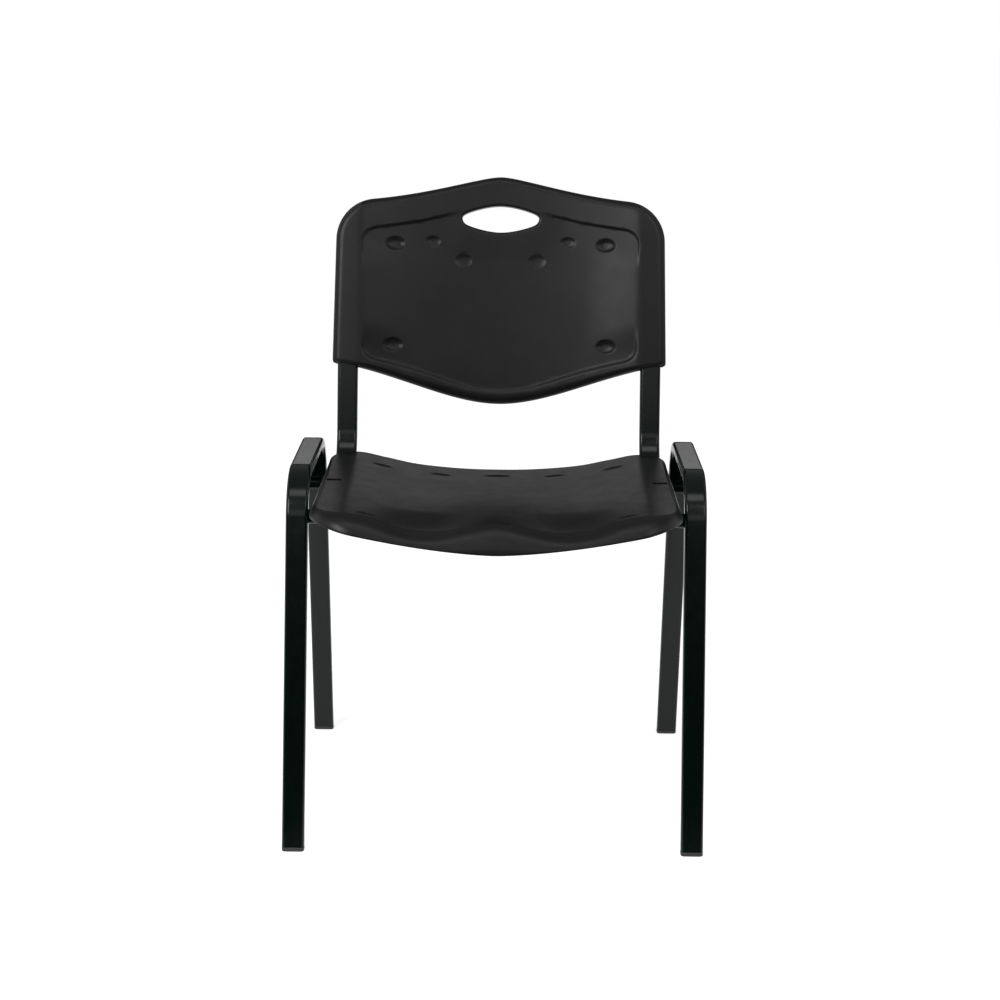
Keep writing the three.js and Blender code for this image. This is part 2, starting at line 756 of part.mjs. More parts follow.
function washerGeometry() {
  const inner = screw.shank + seam;
  const profile = [
    new THREE.Vector2(inner, 0),
    new THREE.Vector2(screw.washer, 0),
    new THREE.Vector2(screw.washer, screw.washerThick),
    new THREE.Vector2(inner, screw.washerThick),
    new THREE.Vector2(inner, 0),
  ];
  return new THREE.LatheGeometry(profile, roundSides).rotateX(Math.PI / 2);
}

// One piece at each place on each side, named for where it is
function addFasteners(name, ends, places, basis, height, makeGeometry) {
  for (const [side, sign] of [['left', -1], ['right', 1]]) {
    places.forEach((place, index) => {
      const geometry = makeGeometry().translate(0, 0, height);
      const mesh = addPiece(`${ends[index]}_${side}_${name}`, geometry, screwFinish);
      mesh.quaternion.setFromRotationMatrix(basis);
      mesh.position.copy(place).addScaledVector(sideways, sign * carrierX);
    });
  }
}

const washerBase = -half - seam - screw.washerThick;
const seatScrewBase = washerBase - seam - screw.headHeight;
const seatScrewLength = half + screw.bite - seatScrewBase - screw.headHeight;
const seatEnds = ['front', 'rear'];
addFasteners('seat_washer', seatEnds, seatScrewPlaces, runBasis, washerBase, washerGeometry);
addFasteners('seat_screw', seatEnds, seatScrewPlaces, runBasis, seatScrewBase, () => (
  screwGeometry(seatScrewLength)
));

// Backrest shell. Its plan lies in the plane of the uprights' front faces: X across, Y up the
// uprights from their measured height, Z towards the sitter.

const bandLevel = back.wall + seam;
const sleeveInside = carrierX - tube.width / 2 - seam - back.sleeveWall;
const sleeveBack = -tube.thick - seam - back.sleeveWall;

function backEdges(sideInset, topInset, bottomInset) {
  const x = backHalf - sideInset;
  const topX = x - back.taper;
  const sleeve = back.sleeveEnd + Math.min(bottomInset, back.footCorner);
  const bottom = back.bottomEdge + bottomInset;
  const shoulder = shoulderHeight - topInset;
  const radius = Math.max(back.topCorner - topInset, back.topCorner * leastCornerShare);
  const small = back.footCorner;
  const merge = Math.min(backHalf - back.levelMargin + bottomInset / 2, x - 2 * small);
  const firstX = merge * sleeveBlendShares.first;
  const firstY = lerp(sleeve, bottom, sleeveBlendShares.firstDrop);
  const secondX = merge * sleeveBlendShares.second;
  const nearPath = new THREE.Path();
  nearPath.absarc(-x + small, sleeve + small, small, Math.PI * 1.25, Math.PI * 1.5);
  nearPath.lineTo(-merge, sleeve);
  nearPath.bezierCurveTo(-firstX, firstY, -secondX, bottom, 0, bottom);
  nearPath.bezierCurveTo(secondX, bottom, firstX, firstY, merge, sleeve);
  nearPath.lineTo(x - small, sleeve);
  nearPath.absarc(x - small, sleeve + small, small, -Math.PI / 2, -Math.PI / 4);
  const rightPath = new THREE.Path();
  rightPath.absarc(x - small, sleeve + small, small, -Math.PI / 4, 0);
  rightPath.lineTo(topX, shoulder - radius);
  rightPath.absarc(topX - radius, shoulder - radius, radius, 0, Math.PI / 4);
  const peak = back.peak - topInset;
  const farPath = crownedPath(topX, shoulder, radius, back.shoulderSlope, peak, backCrownShares);
  return evenEdges(nearPath, farPath, rightPath);
}

// Height of the leaning surface: flat bands over the uprights and a hollow panel between them
function backLevel(x, y) {
  const across = Math.min(Math.abs(x) / sleeveInside, 1);
  const rise = clamp((y - shoulderHeight / 2) / (back.peak - shoulderHeight / 2), 0, 1);
  return bandLevel - back.hollow * (1 - across ** 2) - back.curl * rise ** 2;
}

const backPlan = {
  inner: backEdges(back.sideRoll, back.topRoll, back.bottomRoll),
  outer: backEdges(0, 0, 0),
  wall: back.wall,
  level: backLevel,
  rim(inside, outside, ring) {
    const angle = Math.min(ring / rollSteps, 1) * Math.PI / 2;
    const place = inside.clone().lerp(outside, Math.sin(angle));
    const level = backLevel(inside.x, inside.y);
    const roll = Math.min(inside.distanceTo(outside), back.rimDepth * backRollShare);
    const across = Math.min(Math.abs(inside.x) / sleeveInside, 1);
    const end = lerp(level - back.rimDepth, sleeveBack, across ** sleevePower);
    const height = ring > rollSteps ? end : level - roll * (1 - Math.cos(angle));
    return new THREE.Vector3(place.x, place.y, height);
  },
};

// The hollow sleeves over the uprights: the outline behind the bands, cut down to the two sides
function sleeveSolid() {
  const inset = back.wall / 2;
  const edges = backEdges(inset, inset, 0);
  const outline = new THREE.Shape(loopOf(edges));
  const slab = new THREE.ExtrudeGeometry(outline, {
    depth: -sleeveBack + seam + back.wall * wallLapShare,
    steps: 1,
    bevelEnabled: false,
  }).translate(0, 0, sleeveBack);
  const reach = backHalf + overrun;
  const low = new THREE.Vector3(sleeveInside, back.bottomEdge - overrun, sleeveBack - overrun);
  const high = new THREE.Vector3(reach, back.peak + overrun, bandLevel + overrun);
  const right = toSolid(box(low, high));
  const left = toSolid(box(
    new THREE.Vector3(-high.x, low.y, low.z),
    new THREE.Vector3(-low.x, high.y, high.z),
  ));
  return toSolid(slab).intersect(right.add(left));
}

// The space that an upright and its plug take up, from below the sleeve to above the plug
function uprightSpace(sign) {
  const x = sign * carrierX;
  const reach = tube.width / 2 + seam;
  const top = carrier.uprightAbove + plug.head + 2 * seam;
  return toSolid(box(
    new THREE.Vector3(x - reach, back.bottomEdge - overrun, -tube.thick - seam),
    new THREE.Vector3(x + reach, top, seam),
  ));
}

// Outline of the hand grip: one closed curve through both halves, moved out by a margin
function gripShape(margin) {
  const right = gripHalfShares.map(([x, y]) => (
    new THREE.Vector3(x * (grip.width / 2 + margin), y * (grip.height / 2 + margin), 0)
  ));
  const left = right.slice(0, -1).reverse().map((point) => new THREE.Vector3(-point.x, point.y, 0));
  const curve = new THREE.CatmullRomCurve3([...right, ...left], true);
  return new THREE.Shape(curve.getSpacedPoints(gripSteps).slice(1));
}

function gripBlock(margin, low, high) {
  return toSolid(new THREE.ExtrudeGeometry(gripShape(margin), {
    depth: high - low,
    steps: 1,
    bevelEnabled: false,
  }).translate(0, gripCentre, low));
}

function backGeometry() {
  const deepest = bandLevel - back.hollow - back.curl - back.wall;
  const behind = toSolid(spaceBehind(backPlan, deepest - grip.collarDepth));
  const collar = gripBlock(grip.collar, deepest - grip.collarDepth, bandLevel + overrun).intersect(behind);
  let solid = toSolid(mouldedShell(backPlan)).add(sleeveSolid()).add(collar);
  solid = solid.subtract(gripBlock(0, deepest - grip.collarDepth - overrun, bandLevel + overrun));
  for (const sign of [-1, 1]) {
    solid = solid.subtract(uprightSpace(sign));
    for (const share of backScrewShares) {
      const hole = rod(screw.shank + seam, -sleeveBack);
      hole.translate(sign * carrierX, share * carrier.uprightAbove, sleeveBack - overrun);
      solid = solid.subtract(toSolid(hole));
    }
  }
  return toGeometry(solid);
}

const backrest = addPiece('backrest_shell', backGeometry(), plasticFinish);
backrest.quaternion.setFromRotationMatrix(backBasis);
backrest.position.copy(uprightFace);

// Screws that hold the backrest, driven forwards through the sleeves into the uprights
const backScrewBase = -half - seam - back.sleeveWall - seam - screw.headHeight;
const backScrewLength = back.sleeveWall + 2 * seam + screw.bite;
addFasteners('backrest_screw', ['lower', 'upper'], backScrewPlaces, backBasis, backScrewBase, () => (
  screwGeometry(backScrewLength)
));

// The origin goes under the middle of the finished chair
const whole = new THREE.Box3().setFromObject(chair, true);
chair.position.y = -(whole.min.y + whole.max.y) / 2;

export default chair;
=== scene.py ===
import logging
import math
from dataclasses import dataclass, field
from enum import Enum
from typing import Any, Callable, Sequence

import bmesh
import bpy
import numpy as np
from bmesh.types import BMEdge, BMesh, BMFace, BMVert
from mathutils import Matrix, Vector


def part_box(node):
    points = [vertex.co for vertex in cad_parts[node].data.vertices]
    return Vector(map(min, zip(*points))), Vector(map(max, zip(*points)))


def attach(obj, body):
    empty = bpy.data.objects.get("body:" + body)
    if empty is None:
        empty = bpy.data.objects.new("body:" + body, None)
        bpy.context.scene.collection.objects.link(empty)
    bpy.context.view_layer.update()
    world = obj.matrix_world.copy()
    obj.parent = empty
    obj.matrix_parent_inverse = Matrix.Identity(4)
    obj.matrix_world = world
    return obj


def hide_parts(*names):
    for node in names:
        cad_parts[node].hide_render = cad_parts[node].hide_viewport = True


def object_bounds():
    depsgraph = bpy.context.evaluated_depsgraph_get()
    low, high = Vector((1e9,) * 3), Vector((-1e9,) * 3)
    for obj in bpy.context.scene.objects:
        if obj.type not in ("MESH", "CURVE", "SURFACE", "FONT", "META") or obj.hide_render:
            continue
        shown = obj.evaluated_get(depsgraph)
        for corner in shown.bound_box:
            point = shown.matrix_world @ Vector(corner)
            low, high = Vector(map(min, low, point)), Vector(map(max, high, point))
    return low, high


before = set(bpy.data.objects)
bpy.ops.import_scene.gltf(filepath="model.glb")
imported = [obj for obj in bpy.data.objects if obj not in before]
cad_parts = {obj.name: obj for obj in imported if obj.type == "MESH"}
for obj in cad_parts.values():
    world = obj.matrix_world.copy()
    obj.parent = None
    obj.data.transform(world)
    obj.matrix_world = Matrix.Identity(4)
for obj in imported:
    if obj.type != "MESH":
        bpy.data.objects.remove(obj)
CAD_LOW, CAD_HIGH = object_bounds()

# The pieces are drawn in millimetres, with the floor at z 0 and the front of the front feet at
# y 0, as the chair's own drawing has them. One matrix takes the drawing into the frame.
MM = 0.001
DRAWING_TO_FRAME = Matrix.Translation((0.0, CAD_LOW.y, 0.0)) @ Matrix.Scale(MM, 4)
FRAME_TO_DRAWING = DRAWING_TO_FRAME.inverted()
SIDES = {"left": -1.0, "right": 1.0}
SIDEWAYS = Vector((1.0, 0.0, 0.0))

log = logging.getLogger("chair")


class Slot(Enum):
    """The record's material slots."""

    FRAME = "frame"
    FOOT = "foot"
    PLUG = "plug"
    SHELL = "shell"
    SCREW = "screw"


# Shader nodes and finishes


def linear(hex_colour: str) -> tuple[float, float, float, float]:
    """Turns an sRGB hex colour into a linear one.

    Args:
        hex_colour: Six hex digits after a hash sign.

    Returns:
        Linear red, green and blue, and an alpha of 1.
    """
    knee, toe, lift, gamma = 0.04045, 12.92, 0.055, 2.4
    values = []
    for start in (1, 3, 5):
        share = int(hex_colour[start:start + 2], 16) / 255
        values.append(share / toe if share <= knee else ((share + lift) / (1 + lift)) ** gamma)
    return values[0], values[1], values[2], 1.0


def add_node(
    tree: bpy.types.NodeTree,
    kind: str,
    links: dict[str | int, bpy.types.NodeSocket] | None = None,
    sockets: dict[str | int, Any] | None = None,
    **settings: Any,
) -> bpy.types.Node:
    """Adds a node with its settings, socket values and links.

    Args:
        tree: The node tree that gets the node.
        kind: The node's type name.
        links: Output sockets to link, by the name or number of the input that each one feeds.
        sockets: Values of inputs, by name or number.
        settings: Values of the node's own properties.

    Returns:
        The new node.
    """
    node = tree.nodes.new(kind)
    for name, value in settings.items():
        setattr(node, name, value)
    for name, value in (sockets or {}).items():
        node.inputs[name].default_value = value
    for name, output in (links or {}).items():
        tree.links.new(output, node.inputs[name])
    return node


def fresh_tree(owner: bpy.types.Material | bpy.types.World) -> bpy.types.NodeTree:
    """Gives a material or the world an empty node tree.

    Args:
        owner: The material or the world.

    Returns:
        The empty tree.
    """
    owner.use_nodes = True
    owner.node_tree.nodes.clear()
    return owner.node_tree


def per_metre(size_mm: float) -> float:
    """Returns the texture scale at which a pattern repeats every size_mm millimetres."""
    return 1.0 / (size_mm * MM)


@dataclass(frozen=True)
class Finish:
    """A material and the way that its surface was made.

    Grain is the fine relief of the surface, clouds the slow drift between its two colours, haze
    the slow change of its gloss, and wear the light rubbing that shows near the floor.
    """

    name: str
    colour: str
    cloud_colour: str
    roughness: float
    haze: float
    grain_mm: float
    grain_depth_mm: float
    grain_strength: float = 0.35
    cloud_mm: float = 70.0
    cloud_span: tuple[float, float] = (0.35, 0.68)
    haze_share: float = 1 / 3
    haze_span: tuple[float, float] = (0.3, 0.7)
    metallic: float = 0.0
    specular: float = 0.5
    wear_colour: str = ""
    wear_height_mm: float = 30.0
    wear_mm: float = 5.0
    wear_strength: float = 0.55

    def material(self) -> bpy.types.Material:
        """Builds the finish as a node material, or returns the one built before.

        Returns:
            The material.
        """
        made = bpy.data.materials.get(self.name)
        if made is not None:
            return made
        material = bpy.data.materials.new(self.name)
        tree = fresh_tree(material)
        place = add_node(tree, "ShaderNodeTexCoord").outputs["Object"]
        shader = add_node(
            tree, "ShaderNodeBsdfPrincipled",
            links={
                "Base Color": self.base_colour(tree, place),
                "Roughness": self.gloss(tree, place),
                "Normal": self.relief(tree, place),
            },
            sockets={"Metallic": self.metallic, "Specular IOR Level": self.specular},
        )
        add_node(tree, "ShaderNodeOutputMaterial", links={"Surface": shader.outputs["BSDF"]})
        return material

    def base_colour(self, tree: bpy.types.NodeTree, place: bpy.types.NodeSocket) -> bpy.types.NodeSocket:
        """Adds the slow drift between the two tones, and the wear near the floor.

        Args:
            tree: The material's node tree.
            place: The Object coordinates.

        Returns:
            The colour's socket.
        """
        cloud = add_node(
            tree, "ShaderNodeTexNoise", links={"Vector": place},
            sockets={"Scale": per_metre(self.cloud_mm), "Detail": 3.0, "Roughness": 0.55},
        )
        ramp = add_node(tree, "ShaderNodeValToRGB", links={"Fac": cloud.outputs["Fac"]})
        tones = (self.colour, self.cloud_colour)
        for stop, at, tone in zip(ramp.color_ramp.elements, self.cloud_span, tones):
            stop.position = at
            stop.color = linear(tone)
        colour = ramp.outputs["Color"]
        if self.wear_colour:
            height = add_node(tree, "ShaderNodeSeparateXYZ", links={"Vector": place}).outputs["Z"]
            rubbed = add_node(
                tree, "ShaderNodeTexNoise", links={"Vector": place},
                sockets={"Scale": per_metre(self.wear_mm), "Detail": 4.0, "Roughness": 0.7},
            )
            low = add_node(
                tree, "ShaderNodeMapRange", links={"Value": height},
                sockets={
                    "From Min": 0.0, "From Max": self.wear_height_mm * MM,
                    "To Min": self.wear_strength, "To Max": 0.0,
                },
            )
            share = add_node(
                tree, "ShaderNodeMath", operation="MULTIPLY",
                links={0: low.outputs["Result"], 1: rubbed.outputs["Fac"]},
            )
            mix = add_node(
                tree, "ShaderNodeMix", data_type="RGBA",
                links={0: share.outputs[0], 6: colour}, sockets={7: linear(self.wear_colour)},
            )
            colour = mix.outputs[2]
        return colour

    def gloss(self, tree: bpy.types.NodeTree, place: bpy.types.NodeSocket) -> bpy.types.NodeSocket:
        """Adds the roughness, which drifts by the haze on either side of its value.

        Args:
            tree: The material's node tree.
            place: The Object coordinates.

        Returns:
            The roughness's socket.
        """
        smear = add_node(
            tree, "ShaderNodeTexNoise", links={"Vector": place},
            sockets={"Scale": per_metre(self.cloud_mm * self.haze_share), "Detail": 4.0, "Roughness": 0.6},
        )
        low, high = self.haze_span
        spread = add_node(
            tree, "ShaderNodeMapRange", links={"Value": smear.outputs["Fac"]},
            sockets={
                "From Min": low, "From Max": high,
                "To Min": self.roughness - self.haze, "To Max": self.roughness + self.haze,
            },
        )
        return spread.outputs["Result"]

    def relief(self, tree: bpy.types.NodeTree, place: bpy.types.NodeSocket) -> bpy.types.NodeSocket:
        """Adds the fine relief of the surface as a bump.

        Args:
            tree: The material's node tree.
            place: The Object coordinates.

        Returns:
            The normal's socket.
        """
        grain = add_node(
            tree, "ShaderNodeTexNoise", links={"Vector": place},
            sockets={"Scale": per_metre(self.grain_mm), "Detail": 2.0, "Roughness": 0.5},
        )
        bump = add_node(
            tree, "ShaderNodeBump", links={"Height": grain.outputs["Fac"]},
            sockets={"Strength": self.grain_strength, "Distance": self.grain_depth_mm * MM},
        )
        return bump.outputs["Normal"]


# Black polypropylene, injection moulded in a spark-eroded mould: a satin skin with a fine grain,
# drawn a little coarser than the real 0.5 mm so that it shows, and faint flow clouds
POLYPROPYLENE = Finish(
    "polypropylene_moulded_black", "#121213", "#171718",
    roughness=0.35, haze=0.03, grain_mm=0.9, grain_depth_mm=0.035, specular=0.23,
)
# Black powder coat baked on steel tube: glossier than the plastic, with the soft orange peel of
# fused powder and a slight green cast
POWDER_COAT = Finish(
    "powder_coated_steel_black", "#020b08", "#040d0a",
    roughness=0.17, haze=0.02, grain_mm=2.4, grain_depth_mm=0.05, grain_strength=0.25,
    cloud_mm=40.0, specular=0.28,
)
# Black polyethylene, moulded: the matt, slightly waxy surface of a pushed-in end piece, rubbed
# grey where it meets the floor
POLYETHYLENE = Finish(
    "polyethylene_moulded_black", "#141414", "#1a1a1a",
    roughness=0.55, haze=0.05, grain_mm=0.7, grain_depth_mm=0.03, wear_colour="#4a4a48",
)
# Zinc-plated steel: a cool, bright metal with the fine streaks of the plating barrel
ZINC = Finish(
    "zinc_plated_steel", "#9da1a5", "#b3b6b8",
    roughness=0.34, haze=0.08, grain_mm=0.5, grain_depth_mm=0.02, cloud_mm=6.0, metallic=1.0,
)


# Making pieces


# Slots whose pieces have flat sides, which their large faces then keep flat
FLAT_SIDED = (Slot.FRAME, Slot.FOOT, Slot.PLUG)
FLAT_WEIGHT = 90
# Edges that turn by more than this many degrees stay sharp
CREASE = 38.0
# Edges that turn by more than this many degrees are corners to round
CORNER = 60.0


def new_object(bm: BMesh, name: str) -> bpy.types.Object:
    """Turns a bmesh into an object of the scene.

    Args:
        bm: The mesh. It is freed.
        name: The name of the object and its mesh.

    Returns:
        The new object.
    """
    mesh = bpy.data.meshes.new(name)
    bm.to_mesh(mesh)
    bm.free()
    made = bpy.data.objects.new(name, mesh)
    bpy.context.scene.collection.objects.link(made)
    return made


def make_piece(bm: BMesh, name: str, finish: Finish, slot: Slot, node: str) -> None:
    """Turns a drawn bmesh into a finished piece that rides on the chair.

    Args:
        bm: The piece in drawing millimetres. It is freed.
        name: The piece's name.
        finish: The finish that covers it.
        slot: The record's material slot.
        node: The CAD node that it replaces.
    """
    bmesh.ops.recalc_face_normals(bm, faces=bm.faces)
    bmesh.ops.transform(bm, matrix=DRAWING_TO_FRAME, verts=bm.verts)
    for face in bm.faces:
        face.smooth = True
    for edge in bm.edges:
        edge.smooth = len(edge.link_faces) != 2 or edge.calc_face_angle(0.0) < math.radians(CREASE)
    piece = new_object(bm, name)
    piece.data.materials.append(finish.material())
    if slot in FLAT_SIDED:
        flats = piece.modifiers.new("flat_sides", "WEIGHTED_NORMAL")
        flats.weight = FLAT_WEIGHT
        flats.keep_sharp = True
    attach(piece, "root")
    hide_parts(node)
    log.info("%s: %d faces", name, len(piece.data.polygons))


def split(geometry: Sequence[Any], kind: type) -> list[Any]:
    """Returns the elements of one kind from an operator's result."""
    return [element for element in geometry if isinstance(element, kind)]


def pull(bm: BMesh, faces: Sequence[BMFace], step: Sequence[float], keep: bool = False) -> list[Any]:
    """Extrudes faces by a step.

    Args:
        bm: The mesh that holds the faces.
        faces: The faces.
        step: How far they move.
        keep: Leaves the faces that they start from, as the other end of a solid.

    Returns:
        The new vertices, edges and faces.
    """
    made = bmesh.ops.extrude_face_region(bm, geom=faces)["geom"]
    bmesh.ops.translate(bm, verts=split(made, BMVert), vec=step)
    if not keep:
        bmesh.ops.delete(bm, geom=faces, context="FACES")
    return made


def cut_plane(
    bm: BMesh, place: Sequence[float], normal: Sequence[float], clear: bool, geometry: Sequence[Any] = ()
) -> list[BMEdge]:
    """Cuts a mesh along a plane.

    Args:
        bm: The mesh.
        place: A point of the plane.
        normal: The plane's normal.
        clear: Clears what the normal points to.
        geometry: The elements to cut, or nothing for all of them.

    Returns:
        The edges in the plane.
    """
    chosen = geometry or [*bm.verts, *bm.edges, *bm.faces]
    made = bmesh.ops.bisect_plane(bm, geom=chosen, plane_co=place, plane_no=normal, clear_outer=clear)
    return split(made["geom_cut"], BMEdge)


def round_edges(
    bm: BMesh, edges: Sequence[BMEdge], radius: float, segments: int, clamp: bool = False
) -> None:
    """Rounds edges off.

    Args:
        bm: The mesh that holds the edges.
        edges: The edges.
        radius: How far the rounding reaches from each edge.
        segments: The number of faces across it.
        clamp: Keeps narrow places from overlapping.
    """
    bmesh.ops.bevel(
        bm, geom=edges, offset=radius, offset_type="OFFSET", segments=segments, profile=0.5,
        affect="EDGES", material=-1, clamp_overlap=clamp,
    )


def merge_into(bm: BMesh, part: BMesh) -> None:
    """Adds a part to a mesh.

    Args:
        bm: The mesh that gets the part.
        part: The part. It is freed.
    """
    mesh = bpy.data.meshes.new("part")
    part.to_mesh(mesh)
    part.free()
    bm.from_mesh(mesh)
    bpy.data.meshes.remove(mesh)


def basis(across: Vector, through: Vector, along: Vector, place: Vector) -> Matrix:
    """Returns the matrix that takes X, Y and Z to three directions, and the origin to a place."""
    turned = Matrix((across, through, along)).transposed().to_4x4()
    return Matrix.Translation(place) @ turned


def drawing_box(node: str) -> tuple[Vector, Vector]:
    """Returns the lowest and highest corner of a CAD node in drawing millimetres."""
    low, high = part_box(node)
    return FRAME_TO_DRAWING @ low, FRAME_TO_DRAWING @ high


def drawing_middle(node: str) -> Vector:
    """Returns the middle of a CAD node's box in drawing millimetres."""
    low, high = drawing_box(node)
    return (low + high) / 2


@dataclass(frozen=True)
class FlatTube:
    """The section of the flat-sided tube that the whole frame is made of, in millimetres."""

    width: float = 29.0
    thick: float = 15.0
    wall: float = 1.5
    corner: float = 4.5
    corner_segments: int = 7
    end_segments: int = 3
    seam: float = 0.3

    def solid_face(self, bm: BMesh, inset: float = 0.0) -> BMFace:
        """Lays the section's outline in the XY plane as one face.

        Args:
            bm: The mesh that gets the face.
            inset: How far the outline is moved in.

        Returns:
            The face.
        """
        before = set(bm.faces)
        made = bmesh.ops.create_grid(bm, x_segments=1, y_segments=1, size=0.5)
        size = Vector((self.width - 2 * inset, self.thick - 2 * inset, 1.0))
        bmesh.ops.scale(bm, vec=size, verts=made["verts"])
        bmesh.ops.bevel(
            bm, geom=made["verts"], offset=max(self.corner - inset, self.wall), offset_type="OFFSET",
            segments=self.corner_segments, profile=0.5, affect="VERTICES", material=-1,
        )
        return next(face for face in bm.faces if face not in before)

    def wall_faces(self, bm: BMesh) -> list[BMFace]:
        """Lays the section of the hollow tube in the XY plane.

        Args:
            bm: The mesh that gets the section.

        Returns:
            The faces between the outside and the bore.
        """
        face = self.solid_face(bm)
        ring = bmesh.ops.inset_region(
            bm, faces=[face], thickness=self.wall, use_even_offset=True, use_boundary=True
        )
        bmesh.ops.delete(bm, geom=[face], context="FACES_ONLY")
        return ring["faces"]


class Sweep:
    """Carries faces along straight runs and round bends."""

    def __init__(self, bm: BMesh, faces: Sequence[BMFace], place: Vector, heading: Vector) -> None:
        """Starts a sweep.

        Args:
            bm: The mesh that holds the faces.
            faces: The section, already square to the heading.
            place: The middle of the section.
            heading: The direction of the first run.
        """
        self.bm = bm
        self.faces = list(faces)
        self.place = place.copy()
        self.heading = heading.normalized()
        self.begun = False

    def run(self, length: float) -> None:
        """Extrudes the section straight on by a length.

        Args:
            length: The length of the run.
        """
        step = self.heading * length
        self.move_on(split(pull(self.bm, self.faces, step, keep=True), BMFace))
        self.place += step

    def bend(self, leaving: Vector, radius: float, degrees_per_step: float) -> None:
        """Spins the section round a bend until it heads another way.

        Args:
            leaving: The direction after the bend.
            radius: The radius of the middle of the tube.
            degrees_per_step: How far each step turns.
        """
        axis = self.heading.cross(leaving).normalized()
        turn = self.heading.angle(leaving)
        centre = self.place + axis.cross(self.heading) * radius
        steps = max(1, round(math.degrees(turn) / degrees_per_step))
        made = bmesh.ops.spin(
            self.bm, geom=self.faces, cent=centre, axis=axis, angle=turn, steps=steps, use_duplicate=False,
        )["geom_last"]
        self.move_on(split(made, BMFace))
        self.place = centre + Matrix.Rotation(turn, 3, axis) @ (self.place - centre)
        self.heading = leaving.normalized()

    def move_on(self, faces: list[BMFace]) -> None:
        """Takes up the new end, and drops the section that the extrusion left inside the tube.

        Args:
            faces: The faces of the new end.
        """
        if self.begun:
            bmesh.ops.delete(self.bm, geom=self.faces, context="FACES")
        self.begun = True
        self.faces = faces


def swept_tube(
    tube: FlatTube, corners: Sequence[Vector], radius: float, across: Vector, degrees_per_step: float = 3.0
) -> BMesh:
    """Bends a hollow tube along the lines between a few corners.

    Args:
        tube: The tube's section.
        corners: The ends of the path and the corners between its straight runs.
        radius: The bend radius of the tube's middle.
        across: The direction of the section's width.
        degrees_per_step: Fineness of the bends.

    Returns:
        The tube, with both ends closed between its outside and its bore.
    """
    bm = bmesh.new()
    heading = (corners[1] - corners[0]).normalized()
    faces = tube.wall_faces(bm)
    through = heading.cross(across)
    bmesh.ops.transform(bm, matrix=basis(across, through, heading, corners[0]), verts=bm.verts)
    sweep = Sweep(bm, faces, corners[0], heading)
    for corner, after in zip(corners[1:-1], corners[2:]):
        leaving = (after - corner).normalized()
        tangent = radius * math.tan(sweep.heading.angle(leaving) / 2)
        sweep.run((corner - sweep.place).length - tangent)
        sweep.bend(leaving, radius, degrees_per_step)
    sweep.run((corners[-1] - sweep.place).length)
    return bm


def add_block(
    bm: BMesh, tube: FlatTube, inset: float, low: float, high: float, rounding: float
) -> None:
    """Adds a block of the tube's outline between two heights along Z, with rounded end edges.

    Args:
        bm: The mesh that gets the block.
        tube: The section that gives the outline.
        inset: How far the outline is moved in.
        low: Height of the lower end.
        high: Height of the upper end.
        rounding: Radius of the edges of both ends, or zero.
    """
    face = tube.solid_face(bm, inset)
    bmesh.ops.translate(bm, verts=face.verts[:], vec=(0.0, 0.0, low))
    made = pull(bm, [face], (0.0, 0.0, high - low), keep=True)
    if rounding:
        ends = [face, *split(made, BMFace)]
        edges = list(dict.fromkeys(edge for end in ends for edge in end.edges))
        round_edges(bm, edges, rounding, tube.end_segments)


# Steel frame


